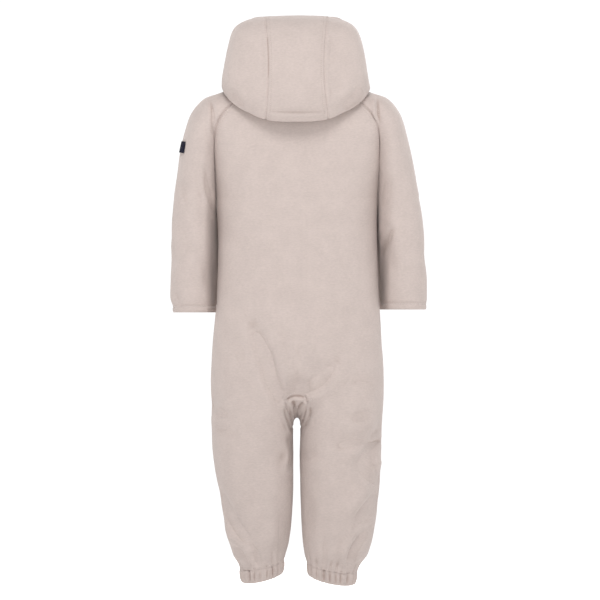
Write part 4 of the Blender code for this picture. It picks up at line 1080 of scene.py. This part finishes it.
def taken_from(mesh):
    """The corners and faces of a small solid, freed once they are read."""
    points = np.array([tuple(corner.co) for corner in mesh.verts])
    faces = [[corner.index for corner in face.verts] for face in mesh.faces]
    mesh.free()
    return points, faces


bead = bmesh.new()
bmesh.ops.create_icosphere(bead, subdivisions=1, radius=1.0)
BEAD_POINTS, BEAD_FACES = taken_from(bead)


def stitch_piece(name, lines, material):
    """Rows of stitches along lines, each line as (points, normals)."""
    points, faces, count = [], [], 0
    for line, normal in lines:
        run = run_of(line)
        for at in np.arange(STITCH_PITCH / 2, run[-1], STITCH_PITCH):
            place, before, after, up = (
                read_at(where, run, values) for where, values in (
                    (at, line), (at - BEAD_LONG, line), (at + BEAD_LONG, line), (at, normal)))
            ahead = unit(after - before)
            aside = unit(np.cross(up, ahead))
            up = np.cross(ahead, aside)
            shape = (BEAD_POINTS[:, :1] * BEAD_LONG * ahead
                     + BEAD_POINTS[:, 1:2] * BEAD_WIDE * aside
                     + BEAD_POINTS[:, 2:] * BEAD_HIGH * up)
            points.append(place + shape + up * STITCH_LIFT)
            faces.append(np.array(BEAD_FACES) + count)
            count += len(BEAD_POINTS)
    return make_piece(name, np.vstack(points), np.vstack(faces), material)


# ---- materials ----

def shader(name):
    material = bpy.data.materials.new(name)
    material.use_nodes = True
    return material, material.node_tree, material.node_tree.nodes["Principled BSDF"]


def fill(tree, node, *ordered, **named):
    """Give a node's inputs a value each, or link them to the output given instead. In a
    name, an underscore stands for a space."""
    for key, value in [*enumerate(ordered), *named.items()]:
        socket = node.inputs[key if isinstance(key, int) else key.replace("_", " ")]
        if isinstance(value, bpy.types.NodeSocket):
            tree.links.new(value, socket)
        else:
            socket.default_value = value


def add(tree, kind, *ordered, out=0, settings=None, **named):
    """A new node with its inputs filled. Returns the output that is used."""
    node = tree.nodes.new("ShaderNode" + kind)
    for name, value in (settings or {}).items():
        setattr(node, name, value)
    fill(tree, node, *ordered, **named)
    return node.outputs[out]


def noise_of(tree, place, scale, detail, roughness=0.55):
    return add(tree, "TexNoise", Vector=place, Scale=scale, Detail=detail, Roughness=roughness)


def ramp(tree, source, *stops):
    """A colour ramp between two stops, each a position and a colour."""
    colour = add(tree, "ValToRGB", source)
    for stop, (position, tint) in zip(colour.node.color_ramp.elements, stops):
        stop.position = position
        stop.color = (*tint, 1)
    return colour


# Painted shade: the colour darkens in hollow seams and folds, where shade would fall
PAINTED_CREASE_SHADE = (0.455, (0.76, 0.71, 0.685))
PAINTED_SHADE_CLEAR = (0.4985, (1.0, 1.0, 1.0))
MOTTLE_SCALE, GRAIN_SCALE, PILE_SCALE, NAP_SCALE = 46.0, 260.0, 420.0, 1500.0
GRAIN_STRETCH = (1.0, 1.0, 2.8)


def cloth_material(name, colour, sheen, height):
    """Brushed cloth: a short uneven nap over fine knit, slight mottling, sheen and painted crease
    shade.
    """
    material, tree, base = shader(name)
    place = add(tree, "TexCoord", out="Object")
    streak = add(tree, "Mapping", Vector=place, Scale=GRAIN_STRETCH)
    mottle = add(tree, "Mix", Factor=0.62, A=noise_of(tree, place, MOTTLE_SCALE, 3.0),
                 B=noise_of(tree, streak, GRAIN_SCALE, 3.0, 0.5))
    shade = ramp(tree, mottle, (0.34, [value * 0.92 for value in colour]),
                 (0.66, [min(1, value * 1.05) for value in colour]))
    # painted shade: the colour darkens as the surface's pointiness falls, in seams and folds
    sunk = ramp(tree, add(tree, "NewGeometry", out="Pointiness"), PAINTED_CREASE_SHADE, PAINTED_SHADE_CLEAR)
    nap = noise_of(tree, place, NAP_SCALE, 4.0, 0.7)
    pile = noise_of(tree, place, PILE_SCALE, 2.0)
    total = add(tree, "Math", pile, 0.8, nap, settings={"operation": "MULTIPLY_ADD"})
    fill(tree, base, Roughness=0.95, Specular_IOR_Level=0.12, Sheen_Weight=sheen,
         Sheen_Roughness=0.55, Sheen_Tint=(1.0, 0.96, 0.93, 1),
         Base_Color=add(tree, "VectorMath", shade, sunk, settings={"operation": "MULTIPLY"}),
         Normal=add(tree, "Bump", Strength=0.55, Distance=height, Height=total))
    return material


def woven_material(name, colour, pitch, height, roughness):
    """Fine weave: two sets of ribs that cross."""
    material, tree, base = shader(name)
    place = add(tree, "TexCoord", out="Object")
    ribs = [add(tree, "TexWave", Vector=place, Scale=0.314 / pitch, Distortion=0.4, out="Fac",
                settings={"wave_type": "BANDS", "bands_direction": axis}) for axis in "XZ"]
    cross = add(tree, "Math", *ribs, settings={"operation": "MAXIMUM"})
    fill(tree, base, Base_Color=(*colour, 1), Roughness=roughness, Specular_IOR_Level=0.06,
         Normal=add(tree, "Bump", Strength=0.6, Distance=height, Height=cross))
    return material


def metal_material(name, colour):
    """Painted metal, worn slightly shinier in places."""
    material, tree, base = shader(name)
    wear = noise_of(tree, add(tree, "TexCoord", out="Object"), 900.0, 3.0)
    fill(tree, base, Base_Color=(*colour, 1), Metallic=0.55,
         Roughness=add(tree, "MapRange", Value=wear, To_Min=0.26, To_Max=0.42))
    return material


FLEECE = cloth_material("fleece", (0.549, 0.466, 0.433), 0.25, 0.45 * MM)
BOUND = cloth_material("bound_fleece", (0.540, 0.457, 0.424), 0.22, 0.40 * MM)
THREAD = woven_material("thread", (0.66, 0.575, 0.54), 0.4 * MM, 0.1 * MM, 0.6)
TAPE = woven_material("zip_tape", (0.44, 0.36, 0.315), 0.6 * MM, 0.12 * MM, 0.8)
TEETH = woven_material("zip_teeth", (0.50, 0.42, 0.37), 2.0 * MM, 0.02 * MM, 0.35)
NAVY = woven_material("label", (0.0105, 0.0105, 0.026), 0.5 * MM, 0.15 * MM, 0.75)
METAL = metal_material("zip_metal", (0.56, 0.49, 0.44))


# ---- the cloth ----

GRIDS = ("yoke", "torso", "leg", "gusset", "sleeve")
ZIP_STITCH_FROM = 4        # rows below the neck seam
ZIP_STITCH_IN = 4.0
HEM_STITCH_IN = 2.2
HOOD_STITCH_IN = 4.6
HOOD_BAND_STITCH_IN = 1.6
HOOD_NECK_STITCH_IN = 3.0


def closed(grid):
    """The numbers of a closed grid, with its first column again at the end."""
    return np.append(grid, grid[:, :1], axis=1)


def body_lines(points, grids):
    """Seams of the body, and the lines stitched beside them."""
    seams = {"body": [], "sleeve": []}
    stitched = {"body": [], "sleeve": []}

    def stitch(group, name, numbers, seam, step, inset=STITCH_IN):
        seam = seam % numbers.shape[1]
        stitched[group].append(inset_line(name, points, numbers, seam, step, inset))

    for grid in grids.values():
        yoke, torso, leg, gusset, sleeve = (grid[name] for name in GRIDS)
        back_end, sleeve_end, in_zip = (grid[name] for name in ("back_end", "sleeve_end", "in_zip"))
        raglans = [yoke[:, back_end], yoke[:, sleeve_end]]
        seams["sleeve"] += [*raglans, sleeve[:, 0], yoke[0][back_end:sleeve_end + 1]]
        seams["body"] += [
            *raglans, torso[:, back_end], leg[:, grid["side_seam"]], leg[:, grid["inner_seam"]],
            gusset[:, -1], torso[-1][TORSO_AT <= ARCH], torso[-1][TORSO_AT >= LAST - ARCH],
            torso[in_zip:, -1], yoke[0][:back_end + 1], yoke[0][sleeve_end:],
        ]
        stitch("body", "raglan", yoke, back_end, -1)
        stitch("body", "raglan", yoke, sleeve_end, 1)
        stitch("body", "zip", yoke[ZIP_STITCH_FROM:], -1 - ZIP_CELLS, -1, ZIP_STITCH_IN)
        stitch("body", "zip", torso[:in_zip + 1], -1 - ZIP_CELLS, -1, ZIP_STITCH_IN)
        stitch("body", "leg", closed(leg).T, -1, -1, HEM_STITCH_IN)
        stitch("body", "crotch", torso[:, TORSO_AT <= ARCH + 0.6].T, -1, -1, ZIP_STITCH_IN)
        stitch("body", "neck", yoke[:, :back_end + 1].T, 0, 1)
        stitch("body", "neck", yoke[:, sleeve_end:-ZIP_CELLS].T, 0, 1)
        stitch("sleeve", "neck", yoke[:, back_end:sleeve_end + 1].T, 0, 1)
        stitch("sleeve", "sleeve", closed(sleeve).T, -1, -1, HEM_STITCH_IN)
    return {group: [points[line] for line in lines] for group, lines in seams.items()}, stitched


LEVEL_WITHIN = 0.4 * MM    # of the plane of a cuff's seam
LEVEL_REACH = 30.0 * MM


def level_cuffs(points, normals):
    """Keep the cut ends at the cuffs flat, so that the bands meet them."""
    normals = normals.copy()
    for side, sign in SIDES.items():
        end = LEG_END[side]
        ends = (
            ((0.0, 0.0, CUFF_SEAM_Z[side]), (0.0, 0.0, 1.0)),
            ((sign * ankle_middle(side), 0.0, end.seam_z),
             (-sign * end.outward, -end.heelward, 1.0)),
        )
        for place, axis in ends:
            place, axis = np.array(place) * MM, unit(np.array(axis))
            near = np.abs((points - place) @ axis) < LEVEL_WITHIN
            near &= (points[:, 0] * sign > 0) & (np.abs(points[:, 2] - place[2]) < LEVEL_REACH)
            normals[near] = unit(normals[near] - (normals[near] @ axis)[:, None] * axis)
    return normals


def leg_relief(grids, count):
    """Depth of the gathers over the legs, for every point of the body."""
    total = np.zeros(count)
    for side, grid in grids.items():
        drop = CROTCH_Z - LEG_END[side].seam_z
        above = drop * (1 - graded(drop, True, True, 2.8))
        total[grid["leg"]] = gather_depth(side, grid["turns"][None, :] % 4, above[:, None]) * MM
    return total


Nestle = namedtuple("Nestle", "z left right left_hollow right_hollow left_edge right_edge")
NESTLE = (
    Nestle(-138, 0, 0, 0, 0, 126, 126), Nestle(-156, 4.2, 6.0, 12, 0, 126, 128),
    Nestle(-170, 5.6, 7.4, 20, 0, 126, 130), Nestle(-186, 6.2, 8.2, 23, 4, 126, 130),
    Nestle(-200, 6.6, 8.8, 24, 14, 126, 129), Nestle(-230, 6.8, 9.0, 25, 24, 126, 128),
    Nestle(-257, 6.6, 9.0, 25, 26, 125, 127), Nestle(-285, 6.4, 11.0, 23, 24, 124, 126),
    Nestle(-300, 6.4, 11.0, 23, 24, 124, 126),
)
NESTLE_Y = -24.0           # the inside of each sleeve reaches round in front of the body here
NESTLE_WIDTH = 13.0
NESTLE_FROM, NESTLE_OVER = 150.0, 34.0   # and fades out across the sleeve
HOLLOW_RUN = 10.0          # behind, its inner side falls away forwards over this width
HOLLOW_FROM, HOLLOW_OVER = -34.0, 52.0


def nestle_points(points):
    """Move points of the sleeves in millimetres, so that their insides lie by the body."""
    moved = points.copy()
    fields = table(NESTLE, "z", Nestle._fields[1:], points[:, 2]).T
    reach, hollow, edge = (np.where(points[:, 0] > 0, *fields[2 * n:2 * n + 2]) for n in range(3))
    across = np.abs(points[:, 0])
    inner = smooth_step((NESTLE_FROM - across) / NESTLE_OVER)
    near = np.exp(-((points[:, 1] - NESTLE_Y) / NESTLE_WIDTH) ** 2)
    moved[:, 0] -= np.sign(points[:, 0]) * reach * inner * near
    moved[:, 1] -= hollow * smooth_step((edge - across) / HOLLOW_RUN) \
        * smooth_step((points[:, 1] - HOLLOW_FROM) / HOLLOW_OVER)
    return moved


def nestle(points, faces):
    moved = points.copy()
    used = np.unique(faces)
    moved[used] = nestle_points(points[used] / MM) * MM
    return moved


skin, grids = build_body()
places, quads, names, number = skin.weld()
for grid in grids.values():
    for key in GRIDS:
        grid[key] = number[grid[key]]
pressed = press_folds(places, unit(point_normals(places, quads)))
of_sleeve = np.char.startswith(names, "sleeve")
seams, stitched = body_lines(pressed, grids)
gathers = leg_relief(grids, len(pressed))
outward = level_cuffs(pressed, unit(point_normals(pressed, quads)))
heights = np.full((2, len(pressed)), np.nan)
wall_ways = {}
for layer, (group, own) in enumerate((("sleeve", of_sleeve), ("body", ~of_sleeve))):
    wall_ways[group] = level_cuffs(pressed, wall_normals(pressed, quads, own))
    used = np.unique(quads[own])
    paths = [read_line(line, pressed) for line in stitched[group]]
    heights[layer, used] = relief_of(
        pressed[used], wall_ways[group][used], group, seams[group], paths, SEEDS["body"])
height = np.nanmean(heights, axis=0) - gathers
moved = nestle(pressed + outward * height[:, None], quads[of_sleeve])
inner_skin = nestle(pressed, quads[of_sleeve])
SKINS = {group: (moved, wall_ways[group], stitched[group]) for group in wall_ways}

hood_skin, hood_grids = build_hood()
hood_places, hood_quads, hood_names, hood_number = hood_skin.weld()
hood_base = press_folds(hood_places, unit(point_normals(hood_places, hood_quads)))
hood_seam = int(np.argmin(np.abs(HOOD_PLACES - HOOD_SEAM)))
hood_edge = int(np.argmin(np.abs(HOOD_PLACES - HOOD_ZIP_EDGE)))
hood_band = len(HOOD_AT) - 1
seams, stitched = [], []
for side in SIDES:
    grid = hood_number[hood_grids[side]]
    hood_grids[side] = grid
    cloth = grid[:hood_band + 1]
    seams += [hood_base[line] for line in (
        cloth[:, hood_seam], grid[hood_band, :hood_edge + 1], grid[0, :hood_edge + 1])]
    stitched += [
        inset_line("hood", hood_base, cloth, hood_seam, -1, HOOD_STITCH_IN),
        inset_line("hood", hood_base, cloth[:, :hood_edge + 1].T, hood_band, -1,
                   HOOD_BAND_STITCH_IN),
        inset_line("zip", hood_base, cloth[ZIP_STITCH_FROM:], hood_edge, -1, ZIP_STITCH_IN),
        inset_line("neck", hood_base, grid[:, :hood_edge + 1].T, 0, 1, HOOD_NECK_STITCH_IN),
    ]
hood_normals = unit(point_normals(hood_base, hood_quads))
paths = [read_line(line, hood_base) for line in stitched]
height = relief_of(hood_base, hood_normals, "hood", seams, paths, SEEDS["hood"])
SKINS["hood"] = (hood_base + hood_normals * height[:, None], hood_normals, stitched)

CLOTH_PIECES = {}


def cut_cloth(base, faces, piece_names, group_of):
    """Turn a skin into its pieces of cloth."""
    for name in sorted(set(piece_names)):
        own = faces[piece_names == name]
        outer, normals = SKINS[group_of(name)][:2]
        if name.startswith("zip_"):
            top = base - normals * TAPE_DEPTH
            piece = wall_piece(
                name + "_tape", top, top - normals * TAPE_CLOTH, normals, own, TAPE)
        else:
            bulge = HEM_BULGE if name == "hood_hem" else SEAM_BULGE
            piece = wall_piece(
                name + "_cloth", outer, base - normals * CLOTH, normals, own, FLEECE, bulge)
        CLOTH_PIECES[name] = piece


cut_cloth(inner_skin, quads, names, lambda name: "sleeve" if name.startswith("sleeve") else "body")
cut_cloth(hood_base, hood_quads, hood_names, lambda name: "hood")

# Sections of the two bands, as places down from the seam and out from it
Edge = namedtuple("Edge", "down out gather")
CASING = (
    Edge(0.00, -0.5, 1.0), Edge(0.06, -0.1, 1.0), Edge(0.18, 0.1, 1.15), Edge(0.40, 0.0, 1.3),
    Edge(0.60, -0.3, 1.25), Edge(0.78, -0.8, 1.0), Edge(0.91, -1.5, 0.7), Edge(0.98, -2.4, 0.5),
    Edge(1.00, -3.3, 0.4), Edge(0.96, -4.2, 0.4), Edge(0.86, -4.5, 0.45), Edge(0.55, -3.4, 0.6),
    Edge(0.20, -2.8, 0.7), Edge(0.02, -2.5, 0.8),
)
BINDING = (
    Edge(0.00, -0.35, 0), Edge(0.08, 0.05, 0), Edge(0.28, 0.35, 0), Edge(0.58, 0.35, 0),
    Edge(0.82, 0.1, 0), Edge(0.96, -0.4, 0), Edge(1.00, -1.1, 0), Edge(0.95, -1.9, 0),
    Edge(0.75, -2.3, 0), Edge(0.35, -2.4, 0), Edge(0.04, -2.4, 0),
)
BAND_POINTS = 320
CASING_DRAW = 0.75         # the casing's own share of the gathers above it
CASING_RIPPLE = 0.42       # with finer ripples between them
CASING_RIPPLES = 33
CASING_EDGE = 0.15         # by its seam it has the depth of the leg's gathers
BAND_TOP = SEAM_GAP / 2 / MM


def casing(side, sign):
    """The gathered casing at the end of a leg."""
    end = LEG_END[side]
    turns = 4.0 * np.arange(BAND_POINTS) / BAND_POINTS
    flat = ankle_ring(side, turns)
    away = unit(flat - flat.mean(axis=0))
    depth = gather_depth(side, turns, np.zeros(BAND_POINTS))
    way = 2 * math.pi * turns / 4
    ripple = np.cos(CASING_RIPPLES * way + 1.6 * np.sin(5 * way)) * (1 + 0.5 * np.sin(7 * way))
    rings = []
    for edge in CASING:
        fine = CASING_RIPPLE * ripple * smooth_step(edge.down / CASING_EDGE)
        inset = edge.gather * (CASING_DRAW * depth + fine)
        inset = inset + (1 - CASING_DRAW) * depth * max(0.0, 1 - edge.down / CASING_EDGE)
        ring = flat + away * (edge.out - inset)[:, None]
        level = end.seam_z - BAND_TOP + (end.hem_z - end.seam_z) * edge.down
        z = level + slant_of(side, ring * (1 - edge.down) + flat * edge.down)
        rings.append(np.column_stack([sign * ring[:, 0], ring[:, 1], z]))
    return swept_ring("leg_cuff_" + side + "_cloth", rings, BOUND)


def binding(side, sign):
    """The narrow binding round the end of a sleeve."""
    seam, hem = CUFF_SEAM_Z[side], CUFF_HEM_Z[side]
    section = sleeve_section(side, np.full(BAND_POINTS, seam),
                             2.0 * np.arange(BAND_POINTS) / BAND_POINTS)
    away = unit(section - section.mean(axis=0))
    rings = []
    for edge in BINDING:
        ring = nestle_points((section + away * edge.out) * (sign, 1.0, 1.0))
        ring[:, 2] = seam - BAND_TOP + (hem - seam) * edge.down
        rings.append(ring)
    return swept_ring("cuff_" + side + "_cloth", rings, BOUND)


for side, sign in SIDES.items():
    CLOTH_PIECES["leg_cuff_" + side] = casing(side, sign)
    CLOTH_PIECES["cuff_" + side] = binding(side, sign)

LABEL_STEPS = 26
LABEL_RIM = np.array([-0.10, 0.02, 0.10, 0.0]) * MM   # its edge rolls over, then is sewn flat


def read_grid(values, grid, rows, columns):
    """Values of a grid's points at places between its rows and columns."""
    low_row, low_column = rows.astype(int)[:, None], columns.astype(int)[None, :]
    down, over = (rows % 1)[:, None, None], (columns % 1)[None, :, None]
    above, below = (values[grid[row, low_column]] * (1 - over)
                    + values[grid[row, low_column + 1]] * over for row in (low_row, low_row + 1))
    return above * (1 - down) + below * down


def label_piece(grid, half):
    """The bare woven label, on the outside of the left sleeve. Half is the number of the
    column over the top of the sleeve."""
    rows = np.interp(np.linspace(*LABEL_ROWS, LABEL_STEPS) / YOKE_PARTS,
                     YOKE_AT, range(len(YOKE_AT)))
    columns = np.linspace(*LABEL_COLUMNS, LABEL_STEPS) / SLEEVE_PARTS
    at = np.interp(np.minimum(columns, 2 - columns), SLEEVE_AT, range(half + 1))
    columns = np.where(columns <= 1, at, 2 * half - at)
    out = unit(read_grid(SKINS["sleeve"][1], grid, rows, columns))
    steps = np.arange(LABEL_STEPS)
    rim = np.minimum(steps, steps[::-1])
    rim = np.minimum(np.minimum.outer(rim, rim), len(LABEL_RIM) - 1)
    lift = (LABEL_SEAT + LABEL_CLOTH + LABEL_RIM[rim])[..., None]
    patch = Skin()
    patch.grid((read_grid(pressed, grid, rows, columns) + out * lift) / MM, 1.0, "sleeve_label")
    points, faces = patch.weld()[:2]
    normals = unit(point_normals(points, faces))
    return wall_piece(
        "sleeve_label_woven", points, points - normals * LABEL_CLOTH, normals, faces, NAVY)


grid = grids["left"]
CLOTH_PIECES["sleeve_label"] = label_piece(
    grid["yoke"][:, grid["back_end"]:grid["sleeve_end"] + 1], len(SLEEVE_AT) - 1)

# Stitching
by_name = {}
for outer, normals, lines in SKINS.values():
    for line in lines:
        path = read_line(line, outer), unit(read_line(line, normals))
        by_name.setdefault(line.name, []).append(path)
STITCHES = [stitch_piece("stitches_" + name, lines, THREAD)
            for name, lines in sorted(by_name.items())]

# The closed zip, from its lower end to the slider
TOOTH_PITCH = 1.5 * MM
TOOTH = (1.25 * MM, 0.42 * MM, 0.55 * MM)   # half its width, length and height
TOOTH_ASIDE = 0.75 * MM
TOOTH_BEVEL = 0.35                           # of a cube that is 2 across
TOOTH_SUNK = TAPE_DEPTH - 0.35 * MM
SLIDER_CLEAR = 17.0 * MM                     # from the top of the zip to its first tooth
END_CLEAR = 2.0 * MM
hood_middle = hood_grids["left"][::-1, -1]
body_middle = np.concatenate([grids["left"]["yoke"][:, -1],
                              grids["left"]["torso"][1:grids["left"]["in_zip"] + 1, -1]])
chain = np.concatenate([hood_base[hood_middle], pressed[body_middle]])
facing = np.concatenate([hood_normals[hood_middle], SKINS["body"][1][body_middle]])
run = run_of(chain)
block = bmesh.new()
bmesh.ops.create_cube(block, size=2.0)
bmesh.ops.bevel(block, geom=block.edges[:], offset=TOOTH_BEVEL, segments=1, affect="EDGES")
block.verts.ensure_lookup_table()
tooth_points, tooth_faces = taken_from(block)
points, faces = [], []
for count, at in enumerate(np.arange(SLIDER_CLEAR, run[-1] - END_CLEAR, TOOTH_PITCH)):
    place, ahead, up = (read_at(where, run, values) for where, values in (
        (at, chain), (at + MM, chain), (at, facing)))
    ahead = unit(ahead - place)
    aside = unit(np.cross(up, ahead))
    shift = aside * TOOTH_ASIDE * (1 if count % 2 else -1) - up * TOOTH_SUNK
    shape = (tooth_points[:, :1] * TOOTH[0] * aside + tooth_points[:, 1:2] * TOOTH[1] * ahead
             + tooth_points[:, 2:] * TOOTH[2] * up)
    faces += [[corner + len(tooth_points) * count for corner in face] for face in tooth_faces]
    points.append(place + shift + shape)
TEETH_PIECE = make_piece("zip_teeth", np.vstack(points), faces, TEETH, 30.0)

# The metal slider and its pull keep their solids
for name in ("zip_slider", "zip_pull"):
    item = bpy.data.objects[name]
    for slot in item.material_slots:
        slot.material = METAL

# A panel of body cloth stands for the solids of its leg too
LEG_SOLIDS = {
    "back": ("leg_back_left", "leg_back_right"),
    "front_left": ("leg_front_left",),
    "front_right": ("leg_front_right",),
}
# What shows of each cut piece: its greatest width and length flat, its area, in metres, how
# it is held and what it is sewn to and hangs from. {} is its own side
Cut = namedtuple("Cut", "width length area held hangs_from")
BODICE = "back front_left front_right"
CUTS = {
    "back": Cut(0.29, 0.70, 0.195, "hung", "sleeve_left sleeve_right"),
    "front": Cut(0.15, 0.69, 0.092, "hung", "back"),
    "sleeve": Cut(0.23, 0.34, 0.066, "hung", "back"),
    "hood_centre": Cut(0.093, 0.32, 0.0285, "hung", BODICE),
    "hood": Cut(0.19, 0.235, 0.0335, "hung", BODICE),
    "hood_hem": Cut(0.012, 0.60, 0.0038, "hung", BODICE),
    "crotch_gusset": Cut(0.060, 0.13, 0.0042, "hung", "back"),
    "leg_cuff": Cut(0.018, 0.26, None, "gathered", "back front_{}"),
    "cuff": Cut(0.010, 0.175, None, "hung", "sleeve_{}"),
    "sleeve_label": Cut(0.0175, 0.041, None, "laid", "sleeve_left"),
    "zip_tape": Cut(0.012, 0.385, 0.0023, "hung", "front_{}"),
    "zip_top": Cut(0.012, 0.046, 0.0003, "hung", BODICE),
}

for name, piece in CLOTH_PIECES.items():
    kind, side = (name, "") if name in CUTS else name.rsplit("_", 1)
    cut = CUTS[kind]
    others = tuple(cut.hangs_from.format(side).split())
    if name != "back":     # the back names nodes, because the sleeves hang from it in turn
        others = tuple(CLOTH_PIECES[other] for other in others)
    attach(piece, "garment")
    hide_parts(name, *LEG_SOLIDS.get(name, ()))
for piece in (*STITCHES, TEETH_PIECE):
    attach(piece, "garment")

# ---- floor, light and camera ----

CENTRE = Vector((-0.0041, 0.0, -0.276))
FRAME_WIDTH = 0.828
DISTANCE = 16.0
SENSOR = 36.0
FLOOR_Z = -0.72
FLOOR_RADIUS = 4.0

floor_mesh = bmesh.new()
bmesh.ops.create_circle(floor_mesh, cap_ends=True, segments=96, radius=FLOOR_RADIUS)
floor_data = bpy.data.meshes.new("floor")
floor_mesh.to_mesh(floor_data)
floor_mesh.free()
floor = bpy.data.objects.new("floor", floor_data)
floor.location.z = FLOOR_Z
floor_paint, floor_tree, floor_base = shader("floor")
# Away from the object the floor brightens into the plain white background
floor_away = add(floor_tree, "VectorMath", add(floor_tree, "TexCoord", out="Object"),
                 settings={"operation": "LENGTH"}, out="Value")
floor_glow = add(floor_tree, "MapRange", Value=floor_away, From_Min=0.5, From_Max=2.2,
                 To_Min=0.10, To_Max=0.75)
fill(floor_tree, floor_base, Base_Color=(0.95, 0.95, 0.95, 1), Roughness=0.9,
     Emission_Color=(1, 1, 1, 1), Emission_Strength=floor_glow)
floor_data.materials.append(floor_paint)
bpy.context.scene.collection.objects.link(floor)

world = bpy.data.worlds.new("studio")
world.use_nodes = True
sky = world.node_tree
# Brightest round the horizon
height = add(sky, "SeparateXYZ", add(sky, "TexCoord", out="Generated"), out="Z")
level = add(sky, "Math", height, settings={"operation": "ABSOLUTE"})
band = add(sky, "MapRange", settings={"interpolation_type": "SMOOTHSTEP"}, Value=level,
           From_Min=0.10, From_Max=0.40, To_Min=1.06, To_Max=0.52)
fill(sky, sky.nodes["Background"], Strength=band, Color=(1, 1, 1, 1))
bpy.context.scene.world = world

Lamp = namedtuple("Lamp", "name place size power")
LAMPS = (
    Lamp("key", (0.06, 2.4, 2.9), 1.4, 70.0),
    Lamp("fill", (-0.6, -3.2, 1.8), 1.3, 56.0),
)
for lamp in LAMPS:
    data = bpy.data.lights.new(lamp.name, "AREA")
    data.size = lamp.size
    data.energy = lamp.power
    item = bpy.data.objects.new(lamp.name, data)
    item.location = lamp.place
    item.rotation_euler = (CENTRE - item.location).to_track_quat("-Z", "Y").to_euler()
    bpy.context.scene.collection.objects.link(item)

camera_data = bpy.data.cameras.new("camera")
camera_data.sensor_width = SENSOR
camera_data.lens = SENSOR * DISTANCE / FRAME_WIDTH
camera = bpy.data.objects.new("camera", camera_data)
camera.location = CENTRE + Vector((0, DISTANCE, 0))
camera.rotation_euler = (math.radians(90), 0, math.radians(180))
bpy.context.scene.collection.objects.link(camera)
bpy.context.scene.camera = camera
bpy.context.scene.view_settings.view_transform = "Standard"
